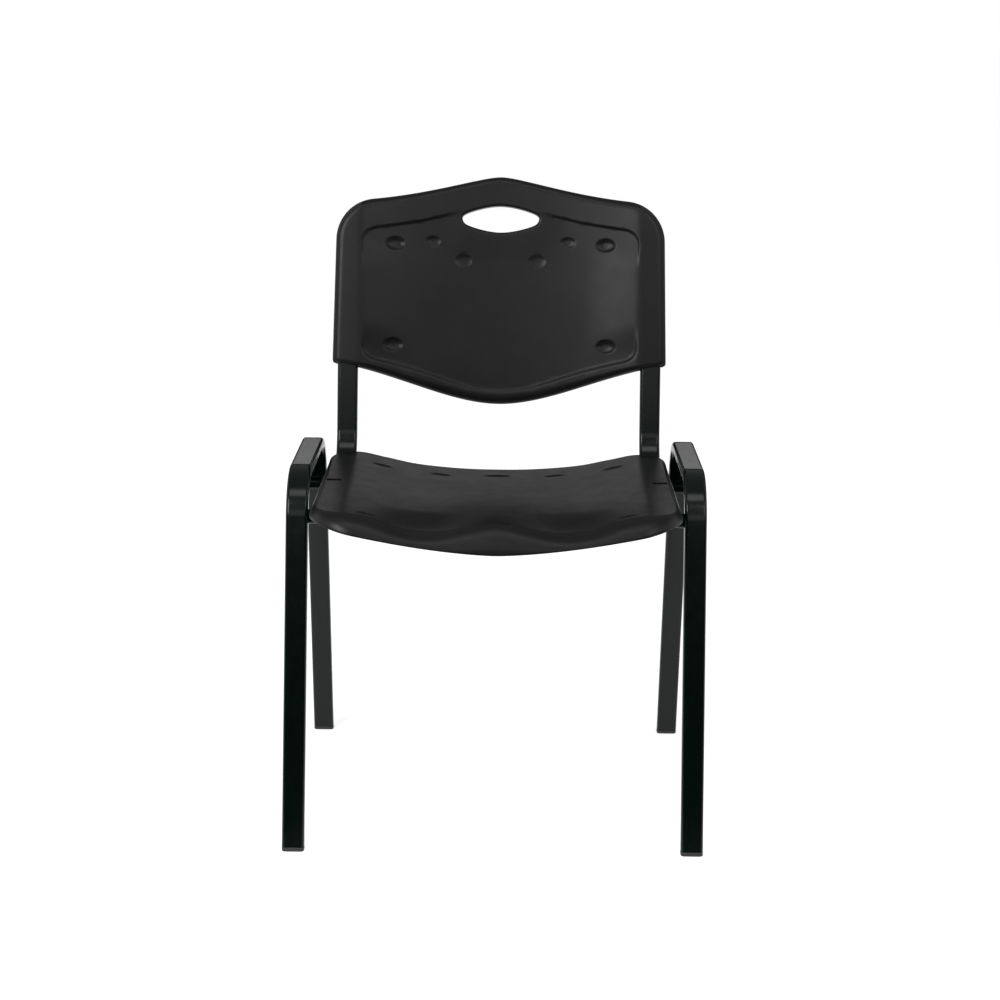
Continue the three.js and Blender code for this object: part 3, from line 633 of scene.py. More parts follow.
@dataclass(frozen=True)
class ChairDrawing:
    """The sizes that the frame and the shells share, in millimetres and degrees."""

    tube: FlatTube = FlatTube()
    overall_width: float = 545.0
    hoop_height: float = 477.4
    stance: float = 487.0
    front_lean: float = 13.2
    rear_lean: float = 11.7
    hoop_bend: float = 64.0
    run_slope: float = 2.7
    carrier_width: float = 462.0
    carrier_front: float = 68.0
    carrier_bend: float = 65.0
    recline: float = 11.63
    face_height: float = 560.0
    face_depth: float = 436.3
    upright_above: float = 150.0
    foot_height: float = 6.0
    plug_head: float = 3.0
    insert: float = 16.0
    sleeve_wall: float = 3.0
    washer: float = 7.0
    front_washer_gap: float = 5.1
    rear_washer_gap: float = 32.9
    back_screw_shares: tuple[float, float] = (0.22, 0.86)

    @property
    def hoop_x(self) -> float:
        """Distance of a hoop's middle from the middle of the chair."""
        return (self.overall_width - self.tube.width) / 2

    @property
    def carrier_x(self) -> float:
        """Distance of an upright's middle from the middle of the chair."""
        return (self.carrier_width - self.tube.width) / 2

    @property
    def downhill(self) -> Vector:
        """Direction of the seat run, towards the rear."""
        slope = math.radians(self.run_slope)
        return Vector((0.0, math.cos(slope), -math.sin(slope)))

    @property
    def off_run(self) -> Vector:
        """Direction square to the seat run, upwards."""
        return SIDEWAYS.cross(self.downhill)

    @property
    def upward(self) -> Vector:
        """Direction of the uprights."""
        recline = math.radians(self.recline)
        return Vector((0.0, math.sin(recline), math.cos(recline)))

    @property
    def forward(self) -> Vector:
        """Direction in which the front faces of the uprights look."""
        return SIDEWAYS.cross(self.upward)

    @property
    def face_place(self) -> Vector:
        """The point from which the backrest is measured, between the uprights' front faces."""
        return Vector((0.0, self.face_depth, self.face_height))

    def leg_axis(self, height: float, front: bool) -> Vector:
        """Returns the point of a leg's axis at a height.

        Args:
            height: Height above the floor.
            front: Whether it is the front leg.

        Returns:
            The point, as if the leg stood in the middle of the chair.
        """
        lean = math.radians(self.front_lean if front else self.rear_lean)
        inset = height * math.tan(lean) + self.tube.thick / 2 / math.cos(lean)
        return Vector((0.0, inset if front else self.stance - inset, height))

    def run_over(self, bar: str) -> Vector:
        """Returns the point of the seat run's axis over the middle of a crossbar.

        Args:
            bar: The crossbar's CAD node.

        Returns:
            The point, in the middle of the chair.
        """
        place = drawing_middle(bar) + self.off_run * (self.tube.thick + self.tube.seam)
        place.x = 0.0
        return place

    def seat_screw_place(self, end: str) -> Vector:
        """Returns the point of the seat run's axis where the front or the rear screw crosses it.

        Args:
            end: Which end of the chair: front or rear.

        Returns:
            The point, in the middle of the chair.
        """
        beside = self.tube.width / 2 + self.washer
        if end == "front":
            return self.run_over("front_crossbar") + self.downhill * (beside + self.front_washer_gap)
        return self.run_over("rear_crossbar") - self.downhill * (beside + self.rear_washer_gap)

    def carrier_corners(self) -> list[Vector]:
        """Returns the ends and the corner of the axis of a seat-and-back tube.

        Returns:
            The front end, the corner and the upper end, in the middle of the chair.
        """
        half = self.tube.thick / 2
        on_run = self.run_over("front_crossbar")
        on_upright = self.face_place - self.forward * half
        share = (on_upright - on_run).dot(self.forward) / self.downhill.dot(self.forward)
        start = on_run + self.downhill * ((self.carrier_front - on_run.y) / self.downhill.y)
        end = on_upright + self.upward * self.upright_above
        return [start, on_run + self.downhill * share, end]


@dataclass
class SideHoop:
    """One bent hoop: front leg, upper run and rear leg, with its two feet."""

    drawing: ChairDrawing
    side: str
    overrun: float = 5.0
    foot_rounding: float = 1.6

    @property
    def offset(self) -> Vector:
        """The step from the middle of the chair to the middle of the hoop."""
        return SIDEWAYS * (SIDES[self.side] * self.drawing.hoop_x)

    def build(self) -> None:
        """Makes the hoop and its feet."""
        drawing = self.drawing
        top = drawing.hoop_height - drawing.tube.thick / 2
        heights = ((-self.overrun, True), (top, True), (top, False), (-self.overrun, False))
        corners = [drawing.leg_axis(height, front) + self.offset for height, front in heights]
        bm = swept_tube(drawing.tube, corners, drawing.hoop_bend, SIDEWAYS)
        self.close_ends(bm, cut_plane(bm, (0.0, 0.0, drawing.foot_height), (0.0, 0.0, -1.0), True))
        make_piece(bm, f"{self.side}_hoop_tube", POWDER_COAT, Slot.FRAME, f"{self.side}_leg_hoop")
        for end in ("front", "rear"):
            self.build_foot(end)

    def close_ends(self, bm: BMesh, edges: Sequence[BMEdge]) -> None:
        """Closes the two cut ends between the outside of the tube and its bore.

        Args:
            bm: The hoop.
            edges: The edges of both cut ends.
        """
        middle = self.drawing.stance / 2
        for front in (True, False):
            end = [edge for edge in edges if (edge.verts[0].co.y < middle) == front]
            bmesh.ops.bridge_loops(bm, edges=end)

    def build_foot(self, end: str) -> None:
        """Makes the plastic foot that is pushed into one leg.

        Args:
            end: Which end of the chair: front or rear.
        """
        drawing = self.drawing
        tube = drawing.tube
        front = end == "front"
        lean = math.radians(drawing.front_lean if front else -drawing.rear_lean)
        bm = bmesh.new()
        add_block(bm, tube, 0.0, 0.0, drawing.foot_height - tube.seam, self.foot_rounding)
        top = drawing.foot_height + drawing.insert
        add_block(bm, tube, tube.wall + tube.seam, drawing.foot_height / 2, top, 0.0)
        # The foot's sides lean with the leg while its underside stays level
        shear = Matrix.Identity(4)
        shear[1][1] = 1 / math.cos(lean)
        shear[1][2] = math.tan(lean)
        place = drawing.leg_axis(0.0, front) + self.offset
        bmesh.ops.transform(bm, matrix=Matrix.Translation(place) @ shear, verts=bm.verts)
        node = f"{end}_{self.side}_foot"
        make_piece(bm, f"{node}_cap", POLYETHYLENE, Slot.FOOT, node)


@dataclass
class TubePlug:
    """A moulded plug: a rounded head on the end of a tube and an insert inside it."""

    drawing: ChairDrawing
    node: str
    rounding: float = 0.9

    def build(self, place: Vector, outward: Vector, across: Vector) -> None:
        """Makes the plug at the end of a tube.

        Args:
            place: The middle of the tube's end.
            outward: The direction out of the tube.
            across: The direction of the tube's width.
        """
        tube = self.drawing.tube
        head = self.drawing.plug_head
        bm = bmesh.new()
        add_block(bm, tube, 0.0, tube.seam, tube.seam + head, self.rounding)
        add_block(bm, tube, tube.wall + tube.seam, -self.drawing.insert, head / 2, 0.0)
        turned = basis(across, outward.cross(across), outward, place)
        bmesh.ops.transform(bm, matrix=turned, verts=bm.verts)
        make_piece(bm, f"{self.node}_cap", POLYETHYLENE, Slot.PLUG, self.node)


@dataclass
class Crossbar:
    """The front or the rear flat bar between the hoops, with a plug in each end and its welds."""

    drawing: ChairDrawing
    end: str
    bead_radius: float = 2.4
    bead_pitch: float = 1.8
    bead_segments: tuple[int, int] = (12, 8)

    def build(self) -> None:
        """Makes the bar where its CAD node lies, and its two plugs."""
        drawing = self.drawing
        node = f"{self.end}_crossbar"
        low, high = drawing_box(node)
        middle = (low + high) / 2
        reach = SIDEWAYS * ((high.x - low.x) / 2)
        bm = swept_tube(drawing.tube, [middle - reach, middle + reach], 0.0, drawing.downhill)
        for sign in SIDES.values():
            self.weld_to_run(bm, middle, sign)
            self.weld_to_leg(bm, middle, sign)
        make_piece(bm, f"{node}_tube", POWDER_COAT, Slot.FRAME, node)
        for side, sign in SIDES.items():
            plug = TubePlug(drawing, f"{node}_{side}_plug")
            plug.build(middle + reach * sign, SIDEWAYS * sign, drawing.downhill)

    def weld_to_run(self, bm: BMesh, middle: Vector, sign: float) -> None:
        """Lays a bead on each side of the seat run that crosses the bar.

        Args:
            bm: The bar, which gets the beads.
            middle: The middle of the bar.
            sign: The side of the chair, -1 or 1.
        """
        drawing, tube = self.drawing, self.drawing.tube
        reach = drawing.downhill * (tube.width / 2 - tube.corner)
        for edge in SIDES.values():
            x = sign * drawing.carrier_x + edge * (tube.width / 2 - self.bead_radius / 2)
            place = middle + SIDEWAYS * x + drawing.off_run * (tube.thick / 2 + self.bead_radius / 2)
            self.add_bead(bm, place - reach, place + reach)

    def weld_to_leg(self, bm: BMesh, middle: Vector, sign: float) -> None:
        """Lays a bead above and below the line where the bar's rounding meets the leg.

        Args:
            bm: The bar, which gets the beads.
            middle: The middle of the bar.
            sign: The side of the chair, -1 or 1.
        """
        drawing, tube = self.drawing, self.drawing.tube
        front = self.end == "front"
        lean = math.radians(drawing.front_lean if front else drawing.rear_lean)
        to_leg = Vector((0.0, -math.cos(lean) if front else math.cos(lean), math.sin(lean)))
        along_leg = SIDEWAYS.cross(to_leg) * (-1 if front else 1)
        corner = drawing.downhill * ((tube.width / 2 - tube.corner) * (-1 if front else 1))
        corner += drawing.off_run * (tube.thick / 2 - tube.corner)
        contact = middle + corner + to_leg * tube.corner + SIDEWAYS * (sign * drawing.hoop_x)
        reach = SIDEWAYS * (tube.width / 2 - tube.corner - self.bead_radius)
        for edge in SIDES.values():
            place = contact + along_leg * (edge * self.bead_radius) - to_leg * (self.bead_radius / 2)
            self.add_bead(bm, place - reach, place + reach)

    def add_bead(self, bm: BMesh, start: Vector, end: Vector) -> None:
        """Adds a weld bead: a row of drops that have run into one another.

        Args:
            bm: The bar, which gets the bead.
            start: Middle of the first drop.
            end: Middle of the last drop.
        """
        count = max(2, round((end - start).length / self.bead_pitch))
        round_about, up = self.bead_segments
        for step in range(count + 1):
            bmesh.ops.create_uvsphere(
                bm, u_segments=round_about, v_segments=up, radius=self.bead_radius,
                matrix=Matrix.Translation(start.lerp(end, step / count)),
            )


@dataclass
class SeatBackTube:
    """One bent tube: the run that carries the seat and the upright inside the backrest."""

    drawing: ChairDrawing
    side: str

    def build(self) -> None:
        """Makes the tube and the plugs in its two ends."""
        drawing = self.drawing
        offset = SIDEWAYS * (SIDES[self.side] * drawing.carrier_x)
        corners = [corner + offset for corner in drawing.carrier_corners()]
        bm = swept_tube(drawing.tube, corners, drawing.carrier_bend, SIDEWAYS)
        node = f"{self.side}_seat_back_tube"
        make_piece(bm, f"{self.side}_bent_tube", POWDER_COAT, Slot.FRAME, node)
        TubePlug(drawing, f"{self.side}_seat_tube_plug").build(corners[0], -drawing.downhill, SIDEWAYS)
        TubePlug(drawing, f"{self.side}_upright_plug").build(corners[2], drawing.upward, SIDEWAYS)


@dataclass
class PanScrew:
    """A pan-head screw with a cross recess, and its washer where it has one."""

    drawing: ChairDrawing
    shank: float = 2.3
    point: float = 0.4
    head_height: float = 2.6
    segments: int = 28
    recess_cells: int = 7
    recess_reach: float = 2.5
    recess_depth: float = 1.4
    recess_taper: float = 0.6
    # Radius and height of the rings of the head, from the outer face to the bearing face
    dome: tuple[tuple[float, float], ...] = ((3.3, 0.15), (4.1, 0.6), (4.5, 1.3), (4.5, 2.5), (4.4, 2.6))
    washer_thick: float = 1.0
    washer_play: float = 0.3
    washer_rounding: float = 0.2
    washer_segments: int = 2

    def build(self, node: str, place: Matrix, length: float) -> None:
        """Makes one screw.

        Args:
            node: The CAD node that it stands for.
            place: Where the middle of the head's outer face is, with Z in the driving direction.
            length: Length under the head.
        """
        bm = bmesh.new()
        cells = self.recess_cells
        bmesh.ops.create_grid(bm, x_segments=cells, y_segments=cells, size=self.recess_reach)
        self.sink_cross(bm)
        rim = [edge for edge in bm.edges if edge.is_boundary]
        ring = bmesh.ops.create_circle(bm, segments=self.segments, radius=self.dome[0][0], cap_ends=False)
        bmesh.ops.translate(bm, verts=ring["verts"], vec=(0.0, 0.0, self.dome[0][1]))
        loop = [edge for edge in bm.edges if edge.is_wire]
        bmesh.ops.bridge_loops(bm, edges=rim + loop)
        under, tip = self.head_height, self.head_height + length
        rings = (*self.dome[1:], (self.shank, under), (self.shank, tip - self.shank), (self.point, tip))
        for radius, height in rings:
            made = bmesh.ops.extrude_edge_only(bm, edges=loop)["geom"]
            loop = [edge for edge in split(made, BMEdge) if edge.is_boundary]
            for vertex in split(made, BMVert):
                across = vertex.co.xy.normalized() * radius
                vertex.co = (across.x, across.y, height)
        bmesh.ops.holes_fill(bm, edges=loop)
        bmesh.ops.transform(bm, matrix=place, verts=bm.verts)
        make_piece(bm, f"{node}_pan", ZINC, Slot.SCREW, node)

    def sink_cross(self, bm: BMesh) -> None:
        """Sinks a tapered cross into the middle of the head's outer face.

        Args:
            bm: The grid in the middle of the head.
        """
        cell = 2 * self.recess_reach / self.recess_cells
        arm = (self.recess_cells // 2 - 0.5) * cell
        cross = []
        for face in bm.faces:
            x, y = (abs(value) for value in face.calc_center_median().xy)
            if min(x, y) < cell / 2 and max(x, y) < arm:
                cross.append(face)
        floor = split(pull(bm, cross, (0.0, 0.0, self.recess_depth)), BMVert)
        bmesh.ops.scale(bm, vec=(self.recess_taper, self.recess_taper, 1.0), verts=floor)

    def build_washer(self, node: str, place: Matrix) -> None:
        """Makes the washer under a screw's head, with Z away from the head.

        Args:
            node: The CAD node that it stands for.
            place: Where the face under the head is.
        """
        bm = bmesh.new()
        for radius in (self.shank + self.washer_play, self.drawing.washer):
            bmesh.ops.create_circle(bm, segments=self.segments, radius=radius, cap_ends=False)
        bmesh.ops.bridge_loops(bm, edges=bm.edges[:])
        pull(bm, bm.faces[:], (0.0, 0.0, self.washer_thick), keep=True)
        bmesh.ops.recalc_face_normals(bm, faces=bm.faces)
        sharp = [edge for edge in bm.edges if edge.calc_face_angle(0.0) > math.radians(CORNER)]
        round_edges(bm, sharp, self.washer_rounding, self.washer_segments)
        bmesh.ops.transform(bm, matrix=place, verts=bm.verts)
        make_piece(bm, f"{node}_ring", ZINC, Slot.SCREW, node)


@dataclass
class Fasteners:
    """The screws that hold the two shells, and the seat screws' washers."""

    drawing: ChairDrawing
    bite: float = 5.5

    @property
    def screw(self) -> PanScrew:
        """The pattern of all the screws."""
        return PanScrew(self.drawing)

    def build(self) -> None:
        """Makes the four seat screws with their washers and the four backrest screws."""
        drawing, screw = self.drawing, self.screw
        half, seam = drawing.tube.thick / 2, drawing.tube.seam
        washer = -half - seam - screw.washer_thick
        head = washer - seam - screw.head_height
        axes = (SIDEWAYS, drawing.downhill, drawing.off_run)
        for end in ("front", "rear"):
            place = drawing.seat_screw_place(end)
            length = half + self.bite - head - screw.head_height
            self.place_row(f"{end}_{{}}_seat_washer", axes, place, washer, None)
            self.place_row(f"{end}_{{}}_seat_screw", axes, place, head, length)
        head = -half - 2 * seam - drawing.sleeve_wall - screw.head_height
        length = drawing.sleeve_wall + 2 * seam + self.bite
        axes = (SIDEWAYS, drawing.upward, drawing.forward)
        on_upright = drawing.face_place - drawing.forward * half
        for end, share in zip(("lower", "upper"), drawing.back_screw_shares):
            place = on_upright + drawing.upward * (share * drawing.upright_above)
            self.place_row(f"{end}_{{}}_backrest_screw", axes, place, head, length)

    def place_row(
        self, name: str, axes: tuple[Vector, Vector, Vector], place: Vector, height: float,
        length: float | None,
    ) -> None:
        """Makes a screw, or a washer where no length is given, on each side of the chair.

        Args:
            name: The CAD nodes' name, with a gap for the side.
            axes: Across, through and along the screw.
            place: The point of the tube's axis, in the middle of the chair.
            height: Where the piece begins, along the screw.
            length: The screw's length under its head, or none for a washer.
        """
        for side, sign in SIDES.items():
            start = place + SIDEWAYS * (sign * self.drawing.carrier_x) + axes[2] * height
            turned = basis(*axes, start)
            if length is None:
                self.screw.build_washer(name.format(side), turned)
            else:
                self.screw.build(name.format(side), turned, length)


# Moulded shells


def evenly(points: np.ndarray, count: int, endpoint: bool = True) -> np.ndarray:
    """Spaces points evenly along a chain of points.

    Args:
        points: The chain.
        count: The number of new points.
        endpoint: Whether the last of them is the end of the chain.

    Returns:
        The new points.
    """
    lengths = np.concatenate([[0.0], np.cumsum(np.linalg.norm(np.diff(points, axis=0), axis=1))])
    places = np.linspace(0.0, lengths[-1], count, endpoint=endpoint)
    return np.stack([np.interp(places, lengths, points[:, axis]) for axis in (0, 1)], axis=1)


@dataclass
class FlatPath:
    """A flat path of lines, arcs and curves that gives points at even steps of its length."""

    arc_points: int = 25
    curve_points: int = 49
    points: list[tuple[float, float]] = field(default_factory=list)

    def arc(self, x: float, y: float, radius: float, start: float, end: float) -> "FlatPath":
        """Adds an arc about a centre, between two angles in degrees.

        Args:
            x: The centre's x.
            y: The centre's y.
            radius: The radius.
            start: The first angle.
            end: The last angle.

        Returns:
            The path itself.
        """
        for angle in np.radians(np.linspace(start, end, self.arc_points)):
            self.points.append((x + radius * math.cos(angle), y + radius * math.sin(angle)))
        return self

    def line(self, x: float, y: float) -> "FlatPath":
        """Adds a straight line to a point."""
        self.points.append((x, y))
        return self

    def curve(self, first: Sequence[float], second: Sequence[float], end: Sequence[float]) -> "FlatPath":
        """Adds a cubic curve with two control points.

        Args:
            first: The first control point.
            second: The second control point.
            end: The last point.

        Returns:
            The path itself.
        """
        start = np.array(self.points[-1])
        for t in np.linspace(0.0, 1.0, self.curve_points)[1:]:
            spread = (1 - t) ** 3 * start + 3 * (1 - t) ** 2 * t * np.array(first)
            place = spread + 3 * (1 - t) * t ** 2 * np.array(second) + t ** 3 * np.array(end)
            self.points.append((place[0], place[1]))
        return self

    def even(self, count: int) -> np.ndarray:
        """Returns the points between count even steps of the path, with both its ends."""
        return evenly(np.array(self.points), count + 1)


def crowned(
    x: float, shoulder: float, radius: float, slope: float, peak: float, shares: tuple[float, float]
) -> FlatPath:
    """Returns the far edge of an outline: half of each corner arc and a crown between the arcs.

    Args:
        x: Half the width of the outline.
        shoulder: Height of the corners.
        radius: Radius of the corners.
        slope: Slope of the crown where it leaves a corner, in degrees.
        peak: Height of the middle.
        shares: How far the first slope runs, and where the level middle begins.

    Returns:
        The edge, from left to right.
    """
    tilt = math.radians(slope)
    centre_x, centre_y = x - radius, shoulder - radius
    end_x, end_y = centre_x + radius * math.sin(tilt), centre_y + radius * math.cos(tilt)
    first = (end_x * (1 - shares[0]), end_y + end_x * shares[0] * math.tan(tilt))
    path = FlatPath().arc(-centre_x, centre_y, radius, 135.0, 90.0 + slope)
    path.curve((-first[0], first[1]), (-end_x * shares[1], peak), (0.0, peak))
    path.curve((end_x * shares[1], peak), first, (end_x, end_y))
    return path.arc(centre_x, centre_y, radius, 90.0 - slope, 45.0)


def four_edges(
    near: FlatPath, right: FlatPath, far: FlatPath, columns: int, rows: int
) -> dict[str, np.ndarray]:
    """Divides the edges of an outline evenly, with the left one mirrored from the right.

    Args:
        near: The near edge, from left to right.
        right: The right edge, away from the near one.
        far: The far edge, from left to right.
        columns: The number of steps across.
        rows: The number of steps along.

    Returns:
        The points of each edge, by its name.
    """
    side = right.even(rows)
    mirrored = side * np.array([-1.0, 1.0])
    return {"near": near.even(columns), "far": far.even(columns), "left": mirrored, "right": side}


def smooth_share(value: np.ndarray | float, low: float, high: float) -> np.ndarray:
    """Returns a smooth rise from 0 at low to 1 at high."""
    share = np.clip((value - low) / (high - low), 0.0, 1.0)
    return share * share * (3 - 2 * share)


def through_shares(table: Sequence[float], share: np.ndarray) -> np.ndarray:
    """Returns a smooth curve through evenly spaced shares, level at both ends.

    Args:
        table: The values at even steps.
        share: How far along the table each point lies, from 0 to 1.

    Returns:
        The value at each point.
    """
    values = np.array(table)
    steps = len(values) - 1
    slopes = np.zeros(len(values))
    slopes[1:-1] = (values[2:] - values[:-2]) / 2
    place = np.clip(share, 0.0, 1.0) * steps
    index = np.minimum(place.astype(int), steps - 1)
    t = place - index
    start, end = values[index], values[index + 1]
    rise = smooth_share(t, 0.0, 1.0)
    curve = start * (1 - rise) + end * rise
    return curve + slopes[index] * t * (1 - t) ** 2 - slopes[index + 1] * t * t * (1 - t)


@dataclass(frozen=True)
class Dimple:
    """A shallow oval hollow pressed into a shell, in millimetres."""

    x: float
    y: float
    half_width: float
    half_height: float
    depth: float
    rim_softness: float = 0.1
    bowl_power: int = 3

    def depth_at(self, x: np.ndarray, y: np.ndarray) -> np.ndarray:
        """Returns how far the dimple sinks the surface at each point.

        Args:
            x: Distances from the middle of the shell.
            y: Distances along the shell.

        Returns:
            The depth at each point.
        """
        reach = np.hypot((x - self.x) / self.half_width, (y - self.y) / self.half_height)
        bowl = 1 - reach ** self.bowl_power
        return self.depth * (bowl + np.sqrt(bowl ** 2 + self.rim_softness ** 2)) / 2


def dimple_pairs(*rows: tuple[float, ...]) -> tuple[Dimple, ...]:
    """Returns a dimple on both sides of the middle for each row of its values."""
    return tuple(Dimple(sign * x, *rest) for x, *rest in rows for sign in SIDES.values())


@dataclass
class MouldedShell:
    """A shell stretched as a grid inside an outline, with a rolled rim and a wall.

    The plan is in X and Y and the face looks along +Z. Subclasses give the outline, the level of
    the face and the run of the rim.
    """

    drawing: ChairDrawing
    columns: int = 120
    rows: int = 100
    refinements: int = 2
    rim_steps: int = 10
    wall: float = 4.0
    lip_rounding: float = 0.9
    lip_segments: int = 2
    dimples: tuple[Dimple, ...] = ()
    dimple_margin: float = 1.25

    def edges(self, roll: bool) -> dict[str, np.ndarray]:
        """Returns the four edges of the outline, inside the rolls or at the very edge."""
        raise NotImplementedError

    def level(self, x: np.ndarray, y: np.ndarray) -> np.ndarray:
        """Returns the level of the face at points of the plan."""
        raise NotImplementedError

    def rim(self, inside: Vector, outside: Vector, step: int) -> Vector:
        """Returns a point of the rim, some steps after the edge of the face."""
        raise NotImplementedError

    def stretched(self, edges: dict[str, np.ndarray], column: int, row: int) -> np.ndarray:
        """Returns the point of the plan at a column and a row of the grid between four edges.

        Args:
            edges: The points of the four edges, by name.
            column: The column.
            row: The row.

        Returns:
            The point's x and y.
        """
        u, v = column / self.columns, row / self.rows
        near, far, left, right = (edges[name] for name in ("near", "far", "left", "right"))
        point = near[column] * (1 - v) + far[column] * v + left[row] * (1 - u) + right[row] * u
        corners = near[0] * (1 - u) * (1 - v) + near[-1] * u * (1 - v)
        return point - corners - far[0] * (1 - u) * v - far[-1] * u * v

    def plan(self, inner: dict[str, np.ndarray]) -> BMesh:
        """Lays the flat grid inside four edges, and notes on it where its rim will end.

        Args:
            inner: The points of the four edges, by name.

        Returns:
            The grid, in the XY plane.
        """
        bm = bmesh.new()
        bmesh.ops.create_grid(bm, x_segments=self.columns, y_segments=self.rows, size=0.5)
        outside = bm.verts.layers.float_vector.new("outside")
        column_layer, row_layer = bm.verts.layers.int.new("column"), bm.verts.layers.int.new("row")
        outer = self.edges(False)
        for vertex in bm.verts:
            column = vertex[column_layer] = round((vertex.co.x + 0.5) * self.columns)
            row = vertex[row_layer] = round((vertex.co.y + 0.5) * self.rows)
            inside = self.stretched(inner, column, row)
            vertex.co = (inside[0], inside[1], 0.0)
            if vertex.is_boundary:
                edge = self.stretched(outer, column, row)
                vertex[outside] = Vector((edge[0], edge[1], 0.0))
        return bm

    def near_detail(self, x: np.ndarray, y: np.ndarray) -> np.ndarray:
        """Says where a dimple needs a finer grid.

        Args:
            x: Distances from the middle of the shell.
            y: Distances along the shell.

        Returns:
            Whether each point is near a dimple.
        """
        wanted = np.zeros(len(x), bool)
        for dimple in self.dimples:
            reach = np.hypot((x - dimple.x) / dimple.half_width, (y - dimple.y) / dimple.half_height)
            wanted |= reach < self.dimple_margin
        return wanted

    def refine(self, bm: BMesh) -> None:
        """Halves the edges of the flat plan where detail is wanted.

        Args:
            bm: The flat plan.
        """
        for _ in range(self.refinements):
            edges = [edge for edge in bm.edges if not edge.is_boundary]
            ends = np.array([[*edge.verts[0].co.xy, *edge.verts[1].co.xy] for edge in edges])
            chosen = self.near_detail((ends[:, 0] + ends[:, 2]) / 2, (ends[:, 1] + ends[:, 3]) / 2)
            picked = [edge for edge, want in zip(edges, chosen) if want]
            bmesh.ops.subdivide_edges(bm, edges=picked, cuts=1, use_grid_fill=True)

    def lift(self, bm: BMesh) -> None:
        """Raises every point of the flat plan to the level of the face.

        Args:
            bm: The flat plan.
        """
        points = np.array([vertex.co.xy[:] for vertex in bm.verts])
        for vertex, height in zip(bm.verts, self.level(points[:, 0], points[:, 1])):
            vertex.co.z = height

    def roll(self, bm: BMesh, edges: Sequence[BMEdge], steps: int, rim: Callable[..., Vector]) -> None:
        """Extrudes a boundary of the face ring by ring.

        Args:
            bm: The lifted face.
            edges: The boundary.
            steps: The number of rings.
            rim: Gives a point of the rim from the inside, the outside and the step.
        """
        outside = bm.verts.layers.float_vector["outside"]
        inside = bm.verts.layers.float_vector.get("inside") or bm.verts.layers.float_vector.new("inside")
        loop = list(edges)
        for vertex in {vertex for edge in loop for vertex in edge.verts}:
            vertex[inside] = vertex.co
        for step in range(1, steps + 1):
            made = bmesh.ops.extrude_edge_only(bm, edges=loop)["geom"]
            loop = split(made, BMEdge)
            ring = split(made, BMVert)
            loop = [edge for edge in loop if edge.verts[0] in ring and edge.verts[1] in ring]
            for vertex in ring:
                vertex.co = rim(vertex[inside], vertex[outside], step)

    def thicken(self, bm: BMesh) -> None:
        """Gives the skin its wall and rounds the lip.

        Args:
            bm: The skin.
        """
        bmesh.ops.recalc_face_normals(bm, faces=bm.faces)
        middle = min(bm.faces, key=lambda face: face.calc_center_median().xy.length)
        if middle.normal.z < 0:
            bmesh.ops.reverse_faces(bm, faces=bm.faces)
        lips = {edge for edge in bm.edges if edge.is_boundary}
        marks = {vertex for edge in lips for vertex in edge.verts}
        bmesh.ops.solidify(bm, geom=bm.faces[:], thickness=self.wall)
        edges = [
            edge for edge in bm.edges
            if len(edge.link_faces) == 2 and edge.calc_face_angle(0.0) > math.radians(CORNER)
            and any(vertex in marks for face in edge.link_faces for vertex in face.verts)
        ]
        round_edges(bm, edges, self.lip_rounding, self.lip_segments, clamp=True)


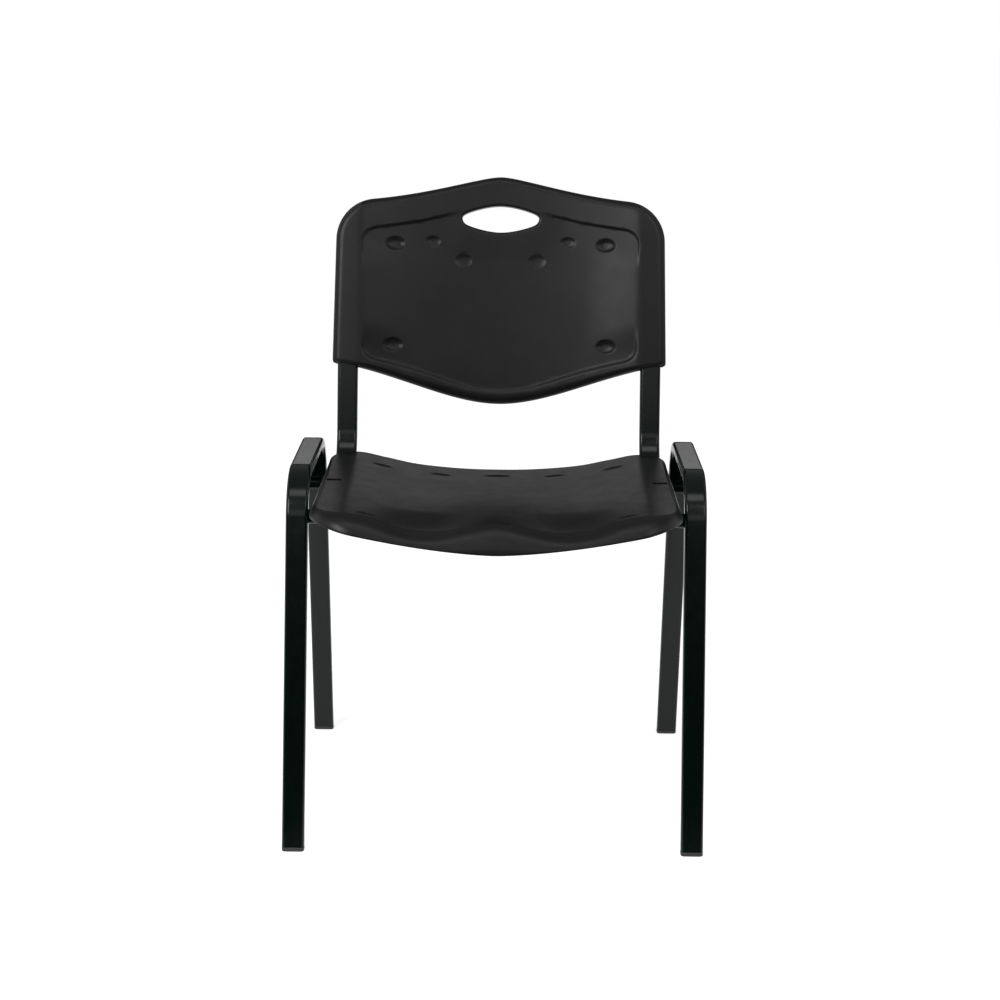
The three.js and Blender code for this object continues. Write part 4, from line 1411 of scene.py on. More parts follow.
@dataclass
class SeatShell(MouldedShell):
    """The moulded seat: level margins, a hollow, two thigh channels and a rolled front."""

    width: float = 475.0
    depth: float = 408.2
    front_edge: float = 2.0
    front_corner: float = 58.0
    rear_corner: float = 40.0
    rear_bow: float = 11.3
    rear_slope: float = 8.0
    rear_crown_shares: tuple[float, ...] = (0.3, 0.35)
    front_roll: float = 24.0
    side_roll: float = 9.0
    rear_roll: float = 8.0
    rim_drop: float = 14.0
    corner_drop: float = 6.0
    front_level: float = 447.0
    rear_level: float = 446.3
    dish: float = 29.0
    dish_reach: float = 200.0
    lip_level: float = 398.0
    lip_rise: float = 28.5
    lip_power: float = 1.6
    lip_roundness: float = 1.6
    front_drop_shares: tuple[float, ...] = (0.45, 0.64, 0.82, 0.67, 0.22, 0.0)
    middle_drop_shares: tuple[float, ...] = (0.63, 0.62, 0.585, 0.465, 0.225, 0.0)
    rear_drop_shares: tuple[float, ...] = (0.905, 0.88, 0.78, 0.6, 0.28, 0.0)
    front_zone: tuple[float, ...] = (0.07, 0.26)
    rear_zone: tuple[float, ...] = (0.34, 0.82)
    lip_zone: tuple[float, ...] = (0.07, 0.26)
    tube_zone: tuple[float, ...] = (0.82, 0.96)
    slot_inner: float = 208.6
    slot_length: float = 19.4
    slot_width: float = 12.0
    slot_y: float = 209.0
    slot_depth: float = 3.0
    slot_zone: float = 18.0
    facing_up: float = 0.5
    boss_radius: float = 9.0
    boss_segments: int = 28
    rib_wall: float = 2.5
    rib_lap: float = 9.0
    rib_gap: float = 0.6
    under_height: float = 45.0
    dimples: tuple[Dimple, ...] = dimple_pairs(
        (161.0, 336.0, 15.0, 9.5, 2.0), (80.0, 348.0, 16.0, 7.5, 1.7), (164.0, 38.0, 13.0, 8.0, 1.2),
    ) + (Dimple(0.0, 359.0, 21.0, 7.0, 1.7),)

    def edges(self, roll: bool) -> dict[str, np.ndarray]:
        """Returns the outline of the seat, inside the rolls or at the very edge.

        Args:
            roll: Whether the rolls are left out.

        Returns:
            The points of the four edges, by name.
        """
        front, side, rear = (self.front_roll, self.side_roll, self.rear_roll) if roll else (0.0, 0.0, 0.0)
        x = self.width / 2 - side
        near = self.front_edge + front
        middle = self.front_edge + self.depth - rear
        ends = middle - self.rear_bow
        corner = self.front_corner - front
        rear_corner = self.rear_corner - rear
        near_path = FlatPath().arc(-x + corner, near + corner, corner, 225.0, 270.0)
        near_path.line(x - corner, near).arc(x - corner, near + corner, corner, 270.0, 315.0)
        right_path = FlatPath().arc(x - corner, near + corner, corner, -45.0, 0.0)
        right_path.line(x, ends - rear_corner)
        right_path.arc(x - rear_corner, ends - rear_corner, rear_corner, 0.0, 45.0)
        far_path = crowned(x, ends, rear_corner, self.rear_slope, middle, self.rear_crown_shares)
        return four_edges(near_path, right_path, far_path, self.columns, self.rows)

    def surface(self, x: np.ndarray, y: np.ndarray) -> np.ndarray:
        """Returns the level of the sitting surface without its dimples.

        Args:
            x: Distances from the middle of the shell.
            y: Distances along the shell.

        Returns:
            The level at each point.
        """
        along = (y - self.front_edge) / self.depth
        across = np.abs(x) / self.dish_reach
        front = 1 - smooth_share(along, *self.front_zone)
        rear = smooth_share(along, *self.rear_zone)
        drop = front * through_shares(self.front_drop_shares, across)
        drop = drop + rear * through_shares(self.rear_drop_shares, across)
        drop = drop + (1 - front - rear) * through_shares(self.middle_drop_shares, across)
        return self.front_level + (self.rear_level - self.front_level) * along - self.dish * drop

    def level(self, x: np.ndarray, y: np.ndarray) -> np.ndarray:
        """Returns the level of the sitting surface with its dimples."""
        return self.surface(x, y) - sum(dimple.depth_at(x, y) for dimple in self.dimples)

    def rim_drop_at(self, x: float, y: float) -> float:
        """Returns how far the rim comes down below the face at a point of its edge.

        Args:
            x: Distance from the middle of the seat.
            y: Distance along the seat.

        Returns:
            The drop.
        """
        along = (y - self.front_edge) / self.depth
        across = abs(x) / self.dish_reach
        face = float(self.surface(np.array([x]), np.array([y]))[0])
        front = max(face - self.lip_level - self.lip_rise * across ** self.lip_power, self.rim_drop)
        near_tube = float(smooth_share(along, *self.tube_zone) * smooth_share(across, *self.tube_zone))
        rest = self.rim_drop + (self.corner_drop - self.rim_drop) * near_tube
        return front + (rest - front) * float(smooth_share(along, *self.lip_zone))

    def rim(self, inside: Vector, outside: Vector, step: int) -> Vector:
        """Returns a point of the rolled rim.

        Args:
            inside: The point where the rim leaves the face.
            outside: The point of the outline that belongs to it.
            step: The number of the ring, counted from the face.

        Returns:
            The point.
        """
        angle = step / self.rim_steps * math.pi / 2
        along = (inside.y - self.front_edge) / self.depth
        power = self.lip_roundness + (2 - self.lip_roundness) * float(smooth_share(along, *self.lip_zone))
        place = inside.lerp(outside, math.sin(angle) ** (2 / power))
        drop = self.rim_drop_at(inside.x, inside.y) * (1 - max(math.cos(angle), 0.0) ** (2 / power))
        return Vector((place.x, place.y, inside.z - drop))

    def cut_slots(self, bm: BMesh) -> None:
        """Cuts the outlines of the two narrow slots into the flat plan.

        Args:
            bm: The flat plan.
        """
        low, high = self.slot_y - self.slot_width / 2, self.slot_y + self.slot_width / 2
        for sign in SIDES.values():
            inner, outer = sign * self.slot_inner, sign * (self.slot_inner + self.slot_length)
            across = [((x, 0.0, 0.0), (1.0, 0.0, 0.0)) for x in (inner, outer)]
            along = [((0.0, y, 0.0), (0.0, 1.0, 0.0)) for y in (low, high)]
            for place, normal in across + along:
                faces = []
                for face in bm.faces:
                    away = face.calc_center_median() - Vector(((inner + outer) / 2, self.slot_y, 0.0))
                    if abs(away.x) < self.slot_length and abs(away.y) < self.slot_zone:
                        faces.append(face)
                corners = dict.fromkeys(vertex for face in faces for vertex in face.verts)
                sides = dict.fromkeys(edge for face in faces for edge in face.edges)
                cut_plane(bm, place, normal, False, [*faces, *corners, *sides])

    def sink_slots(self, bm: BMesh) -> None:
        """Sinks the slots into the top of the finished wall.

        Args:
            bm: The finished wall.
        """
        for sign in SIDES.values():
            faces = []
            for face in bm.faces:
                middle = face.calc_center_median()
                across = middle.x * sign - self.slot_inner
                inside = 0 < across < self.slot_length and abs(middle.y - self.slot_y) < self.slot_width / 2
                if inside and face.normal.z > self.facing_up:
                    faces.append(face)
            pull(bm, faces, (0.0, 0.0, -self.slot_depth))

    def add_underside(self, bm: BMesh) -> None:
        """Adds two ribs beside each seat run and a boss over each of its screws.

        Args:
            bm: The finished shell.
        """
        drawing, tube = self.drawing, self.drawing.tube
        front, rear = (drawing.seat_screw_place(end) for end in ("front", "rear"))
        length = (rear - front).length + 2 * self.boss_radius
        half = tube.thick / 2
        for sign in SIDES.values():
            offset = SIDEWAYS * (sign * drawing.carrier_x)
            for place in (front, rear):
                turned = basis(SIDEWAYS, drawing.downhill, drawing.off_run, place + offset)
                middle = half + tube.seam + self.under_height / 2
                self.add_trimmed(bm, turned @ Matrix.Translation((0.0, 0.0, middle)), None)
            for edge in SIDES.values():
                x = edge * (tube.width / 2 + self.rib_gap + self.rib_wall / 2)
                place = (front + rear) / 2 + offset
                turned = basis(SIDEWAYS, drawing.downhill, drawing.off_run, place)
                middle = half - self.rib_lap + self.under_height / 2
                size = (self.rib_wall, length, self.under_height)
                self.add_trimmed(bm, turned @ Matrix.Translation((x, 0.0, middle)), size)

    def add_trimmed(self, bm: BMesh, place: Matrix, size: tuple[float, float, float] | None) -> None:
        """Adds a rib of a size, or a round boss, cut off inside the wall of the level margin.

        Args:
            bm: The finished shell.
            place: Where the middle of the rib or boss is, and how it is turned.
            size: The rib's size, or none for a boss.
        """
        solid = bmesh.new()
        if size:
            bmesh.ops.create_cube(solid, size=1.0, matrix=place @ Matrix.Diagonal((*size, 1.0)))
        else:
            bmesh.ops.create_cone(
                solid, cap_ends=True, segments=self.boss_segments, radius1=self.boss_radius,
                radius2=self.boss_radius, depth=self.under_height, matrix=place,
            )
        cut_plane(solid, (0.0, 0.0, self.rear_level - self.wall / 2), (0.0, 0.0, 1.0), True)
        bmesh.ops.holes_fill(solid, edges=solid.edges[:])
        merge_into(bm, solid)

    def build(self) -> None:
        """Makes the seat."""
        bm = self.plan(self.edges(True))
        self.refine(bm)
        self.cut_slots(bm)
        self.lift(bm)
        self.roll(bm, [edge for edge in bm.edges if edge.is_boundary], self.rim_steps, self.rim)
        self.thicken(bm)
        self.sink_slots(bm)
        self.add_underside(bm)
        make_piece(bm, "moulded_seat", POLYPROPYLENE, Slot.SHELL, "seat_shell")


@dataclass
class BackShell(MouldedShell):
    """The moulded backrest: bands over the uprights, a hollow panel, a hand grip and sleeves."""

    columns: int = 132
    rows: int = 90
    wall: float = 3.5
    width: float = 477.0
    taper: float = 3.7
    sleeve_end: float = 5.0
    bottom_edge: float = -50.0
    shoulder: float = 241.9
    peak: float = 276.2
    shoulder_slope: float = 7.0
    crown_shares: tuple[float, ...] = (0.48, 0.15)
    level_end: float = 226.0
    blend_shares: tuple[float, ...] = (0.625, 0.288, 0.306)
    top_corner: float = 60.0
    foot_corner: float = 5.0
    side_roll: float = 11.0
    top_roll: float = 11.0
    bottom_roll: float = 14.0
    rim_depth: float = 13.6
    skirt_steps: int = 2
    roll_share: float = 0.6
    sleeve_power: int = 4
    hollow: float = 22.0
    curl: float = 4.0
    curl_power: int = 3
    sleeve_rounding: float = 1.6
    sleeve_segments: int = 3
    flat_angle: float = 0.5
    wall_lap_share: float = 0.33
    least_corner_share: float = 0.33
    crease_softness: float = 0.045
    recess_depth: float = 2.4
    recess_edges: tuple[float, ...] = (4.5, 7.5)
    recess_side_edge: float = 80.0
    recess_side_zone: tuple[float, ...] = (8.0, 60.0)
    recess_side: float = 199.0
    # Upper and lower edge of the recessed panel at evenly spaced shares of its half width
    recess_top: tuple[float, ...] = (236.0, 230.0, 221.5, 212.0, 205.5, 200.0)
    recess_bottom: tuple[float, ...] = (-35.0, -31.0, -19.0, -6.5, 3.5, 11.0)
    recess_corner: float = 20.0
    # The step fades out towards the hand grip, between two distances and two heights
    recess_fade: tuple[float, ...] = (40.0, 95.0)
    recess_open: tuple[float, ...] = (150.0, 215.0)
    # A finer grid follows what is steeper than this over a millimetre, clear of the hand grip
    step_limit: float = 0.02
    grip_clear: tuple[float, ...] = (75.0, 180.0)
    grip_width: float = 109.0
    grip_height: float = 37.0
    grip_centre: float = 214.7
    grip_edge: float = 3.5
    grip_collar: float = 12.0
    grip_steps: int = 12
    grip_points: int = 720
    grip_slope_step: int = 9
    grip_half_shares: tuple[tuple[float, float], ...] = (
        (0.2, 1.0), (0.65, 0.71), (0.97, 0.32), (1.0, -0.07), (0.875, -0.45), (0.44, -0.84), (0.0, -1.0),
    )
    window_columns: int = 15
    window_rows: int = 6
    window_row: int = 73
    grip_reach: int = 9
    grip_step: float = 3.4
    dimples: tuple[Dimple, ...] = dimple_pairs(
        (150.8, 178.0, 14.0, 10.0, 3.0), (152.4, 33.5, 14.0, 10.0, 3.0),
        (96.8, 181.8, 11.0, 8.0, 1.6), (52.8, 155.0, 12.5, 9.5, 1.1),
    )

    @property
    def band_level(self) -> float:
        """Level of the bands in front of the uprights."""
        return self.wall + self.drawing.tube.seam

    @property
    def sleeve_inside(self) -> float:
        """Distance of a sleeve's inner side from the middle of the chair."""
        drawing = self.drawing
        return drawing.carrier_x - drawing.tube.width / 2 - drawing.tube.seam - drawing.sleeve_wall

    @property
    def sleeve_back(self) -> float:
        """Level of the rear of the sleeves."""
        return -self.drawing.tube.thick - self.drawing.tube.seam - self.drawing.sleeve_wall

    def outline(self, side: float, top: float, bottom: float) -> dict[str, np.ndarray]:
        """Returns the outline moved in at its sides, its top and its bottom.

        Args:
            side: How far the sides move in.
            top: How far the top moves in.
            bottom: How far the bottom moves in.

        Returns:
            The points of the four edges, by name.
        """
        x = self.width / 2 - side
        top_x = x - self.taper
        sleeve = self.sleeve_end + min(bottom, self.foot_corner)
        low = self.bottom_edge + bottom
        shoulder, peak = self.shoulder - top, self.peak - top
        radius = max(self.top_corner - top, self.top_corner * self.least_corner_share)
        small = self.foot_corner
        merge = min(self.level_end + bottom / 2, x - 2 * small)
        first = (merge * self.blend_shares[0], sleeve + (low - sleeve) * self.blend_shares[1])
        second = merge * self.blend_shares[2]
        near = FlatPath().arc(-x + small, sleeve + small, small, 225.0, 270.0).line(-merge, sleeve)
        near.curve((-first[0], first[1]), (-second, low), (0.0, low))
        near.curve((second, low), first, (merge, sleeve))
        near.line(x - small, sleeve).arc(x - small, sleeve + small, small, 270.0, 315.0)
        side_path = FlatPath().arc(x - small, sleeve + small, small, -45.0, 0.0)
        side_path.line(top_x, shoulder - radius)
        side_path.arc(top_x - radius, shoulder - radius, radius, 0.0, 45.0)
        far = crowned(top_x, shoulder, radius, self.shoulder_slope, peak, self.crown_shares)
        return four_edges(near, side_path, far, self.columns, self.rows)

    def edges(self, roll: bool) -> dict[str, np.ndarray]:
        """Returns the outline of the backrest, inside the rolls or at the very edge."""
        insets = (self.side_roll, self.top_roll, self.bottom_roll) if roll else (0.0, 0.0, 0.0)
        return self.outline(*insets)

    def recess_share(self, x: np.ndarray, y: np.ndarray) -> np.ndarray:
        """Returns how far the panel is sunk at each point, as a share of the recess.

        Args:
            x: Distances from the middle of the shell.
            y: Distances along the shell.

        Returns:
            The share at each point, 1 on the floor of the recess.
        """
        across = np.abs(x)
        share = across / self.recess_side
        top = through_shares(self.recess_top, share)
        bottom = through_shares(self.recess_bottom, share)
        radius = self.recess_corner
        inside_x = self.recess_side - across
        inside_y = np.minimum(top - y, y - bottom)
        cut = np.hypot(np.clip(radius - inside_x, 0, None), np.clip(radius - inside_y, 0, None))
        in_corner = (inside_x < radius) & (inside_y < radius)
        inside = np.where(in_corner, radius - cut, np.minimum(inside_x, inside_y))
        # The step is crisp above and below and fades into a wide slope at the sides
        beside = smooth_share(inside_y, *self.recess_side_zone)
        edge = np.where(y > self.shoulder / 2, *self.recess_edges)
        crisp = smooth_share(inside / edge, 0.0, 1.0)
        wide = smooth_share(inside_x, 0.0, self.recess_side_edge) * smooth_share(inside_y / edge, 0.0, 1.0)
        sunk = crisp + (wide - crisp) * beside
        upper = smooth_share(y, *self.recess_open)
        fade = smooth_share(across, *self.recess_fade)
        return sunk * (1 - upper * (1 - fade))

    def surface(self, x: np.ndarray, y: np.ndarray) -> np.ndarray:
        """Returns the level of the leaning surface without recess and dimples.

        Args:
            x: Distances from the middle of the shell.
            y: Distances along the shell.

        Returns:
            The level at each point.
        """
        bow = 1 - (x / self.sleeve_inside) ** 2
        # The hollow runs out into the bands over a few millimetres
        bow = (bow + np.sqrt(bow ** 2 + self.crease_softness ** 2)) / 2
        half = self.shoulder / 2
        rise = np.clip((y - half) / (self.peak - half), 0.0, 1.0)
        return self.band_level - self.hollow * bow - self.curl * rise ** self.curl_power

    def level(self, x: np.ndarray, y: np.ndarray) -> np.ndarray:
        """Returns the level of the leaning surface."""
        sunk = self.recess_depth * self.recess_share(x, y)
        return self.surface(x, y) - sunk - sum(dimple.depth_at(x, y) for dimple in self.dimples)

    def rim(self, inside: Vector, outside: Vector, step: int) -> Vector:
        """Returns a point of the rolled rim, or of the skirt behind it.

        Args:
            inside: The point where the rim leaves the face.
            outside: The point of the outline that belongs to it.
            step: The number of the ring, counted from the face.

        Returns:
            The point.
        """
        turn = min(step / self.rim_steps, 1.0) * math.pi / 2
        place = inside.lerp(outside, math.sin(turn))
        reach = min((inside.xy - outside.xy).length, self.rim_depth * self.roll_share)
        height = inside.z - reach * (1 - math.cos(turn))
        if step > self.rim_steps:
            across = min(abs(inside.x) / self.sleeve_inside, 1.0) ** self.sleeve_power
            end = (inside.z - self.rim_depth) * (1 - across) + self.sleeve_back * across
            height += (end - height) * (step - self.rim_steps) / self.skirt_steps
        return Vector((place.x, place.y, height))

    def grip_outline(self) -> np.ndarray:
        """Returns even points of the hand grip's outline about its centre, clockwise from below.

        Returns:
            The points' x and y.
        """
        right = np.array(self.grip_half_shares) * np.array([self.grip_width / 2, self.grip_height / 2])
        left = right[-2::-1] * np.array([-1.0, 1.0])
        knots = np.concatenate([right, left])
        total = len(knots)
        points = []
        for index in range(total):
            before, start, end, after = (knots[(index + shift) % total] for shift in (-1, 0, 1, 2))
            for t in np.linspace(0.0, 1.0, self.grip_steps, endpoint=False):
                spread = (-before + 3 * start - 3 * end + after) * t ** 3
                spread = spread + (2 * before - 5 * start + 4 * end - after) * t ** 2
                points.append((spread + (end - before) * t + 2 * start) / 2)
        start = (len(right) - 1) * self.grip_steps
        return evenly(np.array(points[start:] + points[:start + 1]), self.grip_points, endpoint=False)

    def window_share(self, x: float, y: float) -> float:
        """Returns how far a point of the window's border lies clockwise from the middle below.

        Args:
            x: Columns from the window's middle.
            y: Rows from the window's middle.

        Returns:
            The share of the way round, from 0 to 1.
        """
        wide, high = self.window_columns, self.window_rows
        if abs(y) * wide >= abs(x) * high:
            if y > 0:
                length = 2 * wide + 2 * high + x
            else:
                length = -x if x <= 0 else 4 * (wide + high) - x
        else:
            length = wide + high + y if x < 0 else 3 * wide + 3 * high - y
        return length / (4 * (wide + high))

    def window_place(self, bm: BMesh, vertex: BMVert) -> tuple[int, int, int]:
        """Returns a vertex's column and row from the window's middle, and its ring round it.

        Args:
            bm: The plan.
            vertex: The vertex.

        Returns:
            The column, the row, and 0 for the window's border.
        """
        column, row = (bm.verts.layers.int[name] for name in ("column", "row"))
        across, up = vertex[column] - self.columns // 2, vertex[row] - self.window_row
        return across, up, max(abs(across) - self.window_columns, abs(up) - self.window_rows)

    def open_grip(self, bm: BMesh) -> None:
        """Opens a window in the flat plan and bends the grid round the hand grip's outline.

        Args:
            bm: The flat plan, before it is refined.
        """
        outside = bm.verts.layers.float_vector["outside"]
        wide, high = self.window_columns, self.window_rows
        window = [
            face for face in bm.faces if all(self.window_place(bm, vertex)[2] <= 0 for vertex in face.verts)
        ]
        bmesh.ops.delete(bm, geom=window, context="FACES")
        outline = self.grip_outline()
        apart = self.grip_slope_step
        for vertex in bm.verts:
            across, up, ring = self.window_place(bm, vertex)
            if ring >= self.grip_reach:
                continue
            share = self.window_share(across * wide / (wide + ring), up * high / (high + ring))
            index = round(share * len(outline)) % len(outline)
            before, point, after = (outline[(index + step) % len(outline)] for step in (-apart, 0, apart))
            outward = Vector((before[1] - after[1], after[0] - before[0])).normalized()
            edge = Vector((point[0], point[1] + self.grip_centre))
            target = edge + outward * (self.grip_edge + ring * self.grip_step)
            away = float(smooth_share(ring / self.grip_reach, 0.0, 1.0))
            vertex.co.xy = target.lerp(vertex.co.xy, away)
            if ring == 0:
                vertex[outside] = edge.to_3d()

    def grip_rim(self, inside: Vector, outside: Vector, step: int) -> Vector:
        """Returns a point of the rounded edge of the hand grip, or of the collar behind it.

        Args:
            inside: The point where the rim leaves the face.
            outside: The point of the outline that belongs to it.
            step: The number of the ring, counted from the face.

        Returns:
            The point.
        """
        rounds = self.rim_steps // 2
        turn = min(step / rounds, 1.0) * math.pi / 2
        place = inside.lerp(outside, math.sin(turn))
        height = inside.z - self.grip_edge * (1 - math.cos(turn))
        if step > rounds:
            height -= self.grip_collar * (step - rounds) / self.skirt_steps
        return Vector((place.x, place.y, height))

    def near_detail(self, x: np.ndarray, y: np.ndarray) -> np.ndarray:
        """Says where a dimple or the crisp edge of the recess needs a finer grid.

        Args:
            x: Distances from the middle of the shell.
            y: Distances along the shell.

        Returns:
            Whether each point needs it.
        """
        share = self.recess_share(x, y)
        steepest = np.zeros(len(x))
        for across, up in ((1.0, 0.0), (-1.0, 0.0), (0.0, 1.0), (0.0, -1.0)):
            steepest = np.maximum(steepest, np.abs(self.recess_share(x + across, y + up) - share))
        clear_x, clear_y = self.grip_clear
        steep = (steepest > self.step_limit) & ((np.abs(x) > clear_x) | (y < clear_y))
        return steep | super().near_detail(x, y)

    def add_sleeve(self, bm: BMesh, sign: float) -> None:
        """Adds one sleeve: the outline behind the band, hollow round the upright and its plug.

        Args:
            bm: The finished shell.
            sign: The side of the chair.
        """
        drawing, tube = self.drawing, self.drawing.tube
        reach = tube.width / 2 + tube.seam
        top = drawing.upright_above + drawing.plug_head + 2 * tube.seam
        inset = self.wall / 2
        sleeve = self.plan(self.outline(inset, inset, 0.0))
        cut_plane(sleeve, (sign * self.sleeve_inside, 0.0, 0.0), (-sign, 0.0, 0.0), True)
        for edge in SIDES.values():
            cut_plane(sleeve, (sign * drawing.carrier_x + edge * reach, 0.0, 0.0), (1.0, 0.0, 0.0), False)
        cut_plane(sleeve, (0.0, top, 0.0), (0.0, 1.0, 0.0), False)
        bmesh.ops.translate(sleeve, verts=sleeve.verts, vec=(0.0, 0.0, self.sleeve_back))
        floor = split(pull(sleeve, sleeve.faces[:], (0.0, 0.0, drawing.sleeve_wall), keep=True), BMFace)
        sides = [face for face in floor if not self.in_passage(face, sign, reach, top)]
        pull(sleeve, sides, (0.0, 0.0, tube.thick + 2 * tube.seam + self.wall * self.wall_lap_share))
        bmesh.ops.dissolve_limit(
            sleeve, angle_limit=math.radians(self.flat_angle), verts=sleeve.verts, edges=sleeve.edges,
            use_dissolve_boundaries=False,
        )
        bmesh.ops.recalc_face_normals(sleeve, faces=sleeve.faces)
        behind = self.sleeve_back + tube.seam
        back = [edge for edge in sleeve.edges if all(end.co.z < behind for end in edge.verts)]
        round_edges(sleeve, back, self.sleeve_rounding, self.sleeve_segments, clamp=True)
        merge_into(bm, sleeve)

    def in_passage(self, face: BMFace, sign: float, reach: float, top: float) -> bool:
        """Says whether a face of the sleeve's plan lies over the upright and its plug."""
        middle = face.calc_center_median()
        return abs(middle.x * sign - self.drawing.carrier_x) < reach and middle.y < top

    def build(self) -> None:
        """Makes the backrest."""
        drawing = self.drawing
        bm = self.plan(self.edges(True))
        self.open_grip(bm)
        self.refine(bm)
        self.lift(bm)
        rim_edges = [edge for edge in bm.edges if edge.is_boundary]
        grip = [edge for edge in rim_edges if all(self.window_place(bm, end)[2] == 0 for end in edge.verts)]
        outer = [edge for edge in rim_edges if edge not in set(grip)]
        self.roll(bm, outer, self.rim_steps + self.skirt_steps, self.rim)
        self.roll(bm, grip, self.rim_steps // 2 + self.skirt_steps, self.grip_rim)
        self.thicken(bm)
        for sign in SIDES.values():
            self.add_sleeve(bm, sign)
        bmesh.ops.transform(
            bm, matrix=basis(SIDEWAYS, drawing.upward, drawing.forward, drawing.face_place), verts=bm.verts,
        )
        make_piece(bm, "moulded_backrest", POLYPROPYLENE, Slot.SHELL, "backrest_shell")


# Studio


@dataclass(frozen=True)
class Softbox:
    """A flat soft lamp, in metres and watts, that faces a point of the chair."""

    name: str
    place: tuple[float, float, float]
    size: tuple[float, float]
    power: float
    target: tuple[float, float, float] = (0.0, 0.0, 0.5)

    def build(self) -> None:
        """Hangs the lamp and points it at its target."""
        lamp = bpy.data.lights.new(self.name, "AREA")
        lamp.shape = "RECTANGLE"
        lamp.size, lamp.size_y = self.size
        lamp.energy = self.power
        fitting = bpy.data.objects.new(self.name, lamp)
        aim = Vector(self.target) - Vector(self.place)
        fitting.location = self.place
        fitting.rotation_mode = "QUATERNION"
        fitting.rotation_quaternion = aim.to_track_quat("-Z", "Y")
        fitting.visible_camera = False
        bpy.context.scene.collection.objects.link(fitting)


@dataclass
class Studio:
    """A pale floor, a white room, soft lamps and the camera, in metres."""

    floor_reach: float = 40.0
    floor_colour: str = "#dcdcdc"
    floor_lift: float = 0.71
    room_light: float = 0.4
    card_distance: float = 4.8
    card_height: float = 1.55
    card_ends: float = 1.6
    card_segments: int = 96
    rear_card_ends: float = 2.6
    rear_glow: float = 0.04
    roof_height: float = 3.1
    roof_glow: float = 0.28
    roof_span: tuple[float, float] = (-5.5, 4.8)
    roof_half_width: float = 3.4
    cloth_height: float = 0.01
    cloth_span: tuple[float, float] = (-4.8, -0.9)
    boxes: tuple[Softbox, ...] = (
        Softbox("left_softbox", (-1.35, -2.07, 1.81), (1.1, 1.3), 38.0),
        Softbox("right_softbox", (1.14, -2.05, 2.02), (1.1, 1.1), 10.0),
        Softbox("top_softbox", (0.0, -1.18, 3.04), (1.5, 1.1), 13.0),
        Softbox("rear_softbox", (0.0, 2.72, 1.18), (2.2, 0.4), 1.9),
    )
    # The photograph's camera, in the millimetres of the drawing, with its angles in degrees
    camera_place: tuple[float, float, float] = (12.27, -2586.29, 1086.21)
    lens_mm: float = 77.12
    pitch: float = 13.38
    roll: float = 0.66
    yaw: float = 0.165

    def build(self) -> None:
        """Makes the floor, the cards, the room, the lamps and the camera."""
        self.build_floor()
        self.build_cards()
        self.build_room()
        for softbox in self.boxes:
            softbox.build()
        self.build_camera()
        bpy.context.scene.view_settings.view_transform = "Standard"

    def seen(self, tree: bpy.types.NodeTree) -> bpy.types.NodeSocket:
        """Tells what the camera, a mirror or a pane shows from what only lights the chair.

        Args:
            tree: The node tree of the floor or the world.

        Returns:
            A socket that is 1 where it is shown and 0 where it lights.
        """
        path = add_node(tree, "ShaderNodeLightPath").outputs
        first = add_node(
            tree, "ShaderNodeMath", operation="MAXIMUM",
            links={0: path["Is Camera Ray"], 1: path["Is Glossy Ray"]},
        )
        both = add_node(
            tree, "ShaderNodeMath", operation="MAXIMUM",
            links={0: first.outputs[0], 1: path["Is Transmission Ray"]},
        )
        return both.outputs[0]

    def build_floor(self) -> None:
        """Makes the floor, which can be looked through from below."""
        bm = bmesh.new()
        bmesh.ops.create_grid(bm, x_segments=1, y_segments=1, size=self.floor_reach)
        floor = new_object(bm, "studio_floor")
        material = bpy.data.materials.new("pale_studio_floor")
        tree = fresh_tree(material)
        paint = add_node(tree, "ShaderNodeBsdfDiffuse", sockets={"Color": linear(self.floor_colour)})
        lift = add_node(
            tree, "ShaderNodeMath", operation="MULTIPLY",
            links={0: self.seen(tree)}, sockets={1: self.floor_lift},
        )
        glow = add_node(tree, "ShaderNodeEmission", links={"Strength": lift.outputs[0]})
        lit = add_node(tree, "ShaderNodeAddShader", links={0: paint.outputs[0], 1: glow.outputs[0]})
        clear = add_node(tree, "ShaderNodeBsdfTransparent")
        below = add_node(tree, "ShaderNodeNewGeometry").outputs["Backfacing"]
        surface = add_node(
            tree, "ShaderNodeMixShader", links={"Fac": below, 1: lit.outputs[0], 2: clear.outputs[0]},
        )
        add_node(tree, "ShaderNodeOutputMaterial", links={"Surface": surface.outputs[0]})
        floor.data.materials.append(material)

    def build_cards(self) -> None:
        """Stands cards before and behind the chair and lays two flat, which only gloss shows."""
        for name, sign, height, ends, glow in (
            ("studio_front_card", -1.0, self.card_height, self.card_ends, 0.0),
            ("studio_rear_card", 1.0, self.roof_height, self.rear_card_ends, self.rear_glow),
        ):
            wall = bmesh.new()
            bmesh.ops.create_circle(
                wall, segments=self.card_segments, radius=self.card_distance, cap_ends=False,
            )
            away = [vertex for vertex in wall.verts if vertex.co.y * sign < ends]
            bmesh.ops.delete(wall, geom=away, context="VERTS")
            rim = split(bmesh.ops.extrude_edge_only(wall, edges=wall.edges[:])["geom"], BMVert)
            bmesh.ops.translate(wall, verts=rim, vec=(0.0, 0.0, height))
            self.hang_card(wall, name, glow)
        for name, (front, rear), height, glow in (
            ("studio_roof_card", self.roof_span, self.roof_height, self.roof_glow),
            ("studio_floor_cloth", self.cloth_span, self.cloth_height, 0.0),
        ):
            sheet = bmesh.new()
            bmesh.ops.create_grid(sheet, x_segments=1, y_segments=1, size=1.0)
            half_size = (self.roof_half_width, (rear - front) / 2, 1.0)
            bmesh.ops.scale(sheet, verts=sheet.verts, vec=half_size)
            bmesh.ops.translate(sheet, verts=sheet.verts, vec=(0.0, (rear + front) / 2, height))
            self.hang_card(sheet, name, glow)

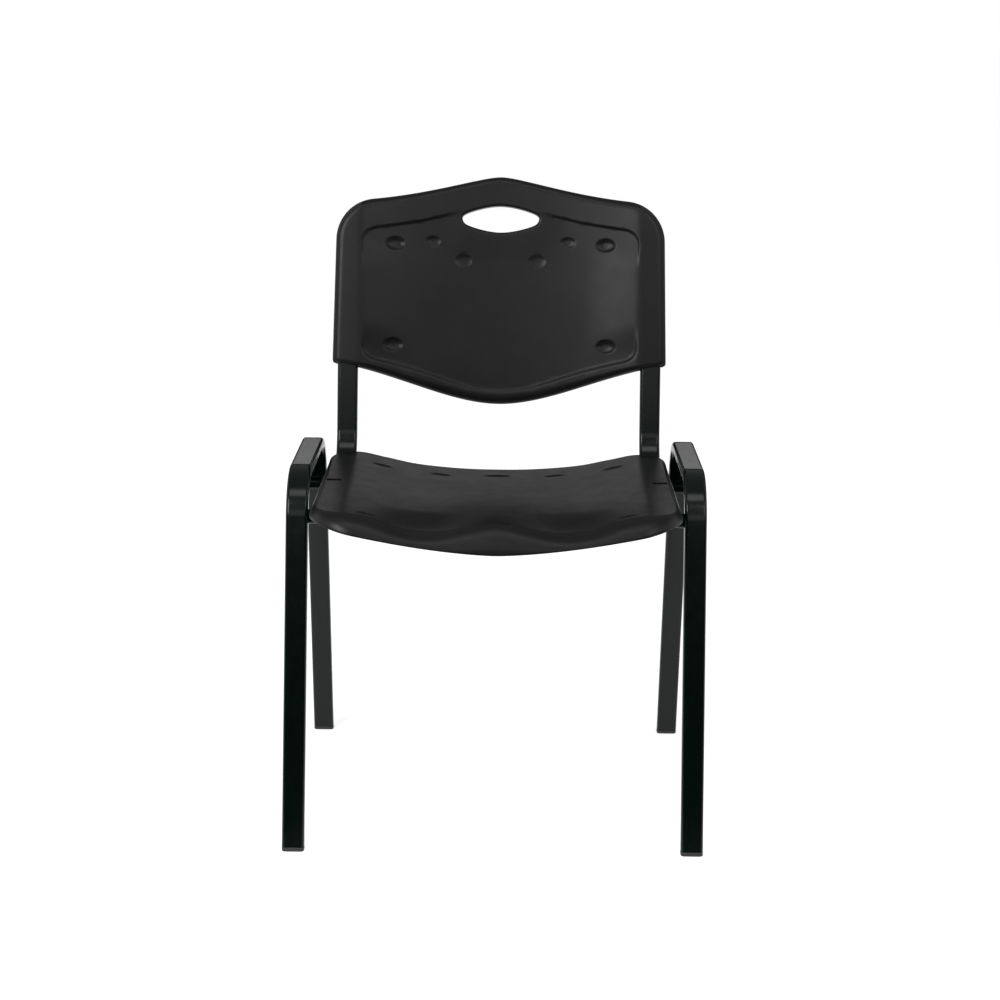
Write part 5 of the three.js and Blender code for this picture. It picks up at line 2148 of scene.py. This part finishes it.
    def hang_card(self, bm: BMesh, name: str, glow: float) -> None:
        """Turns a drawn card into an object that only glossy rays meet.

        Args:
            bm: The card in metres. It is freed.
            name: The object's name.
            glow: How bright it looks in the gloss.
        """
        card = new_object(bm, name)
        for ray in ("camera", "diffuse", "shadow", "transmission", "volume_scatter"):
            setattr(card, f"visible_{ray}", False)
        material = bpy.data.materials.new(name)
        tree = fresh_tree(material)
        paper = add_node(tree, "ShaderNodeEmission", sockets={"Strength": glow})
        add_node(tree, "ShaderNodeOutputMaterial", links={"Surface": paper.outputs[0]})
        card.data.materials.append(material)

    def build_room(self) -> None:
        """Makes the world: white where it is seen, and dimmer as a light."""
        world = bpy.data.worlds.new("white_room")
        tree = fresh_tree(world)
        level = add_node(
            tree, "ShaderNodeMapRange", links={"Value": self.seen(tree)},
            sockets={"To Min": self.room_light, "To Max": 1.0},
        )
        glow = add_node(
            tree, "ShaderNodeBackground", links={"Strength": level.outputs["Result"]},
            sockets={"Color": (1.0, 1.0, 1.0, 1.0)},
        )
        add_node(tree, "ShaderNodeOutputWorld", links={"Surface": glow.outputs[0]})
        bpy.context.scene.world = world

    def build_camera(self) -> None:
        """Sets up the camera where the photograph was taken."""
        data = bpy.data.cameras.new("photograph_camera")
        data.lens = self.lens_mm
        camera = bpy.data.objects.new("photograph_camera", data)
        place = Matrix.Translation(DRAWING_TO_FRAME @ Vector(self.camera_place))
        for angle, axis in ((self.yaw, "Z"), (90.0 - self.pitch, "X"), (self.roll, "Z")):
            place = place @ Matrix.Rotation(math.radians(angle), 4, axis)
        camera.matrix_world = place
        bpy.context.scene.collection.objects.link(camera)
        bpy.context.scene.camera = camera


def main() -> None:
    """Builds the chair and the studio round it."""
    logging.basicConfig(level=logging.INFO, format="%(name)s: %(message)s")
    drawing = ChairDrawing()
    for side in SIDES:
        SideHoop(drawing, side).build()
        SeatBackTube(drawing, side).build()
    for end in ("front", "rear"):
        Crossbar(drawing, end).build()
    SeatShell(drawing).build()
    BackShell(drawing).build()
    Fasteners(drawing).build()
    Studio().build()


if __name__ == "__main__":
    main()
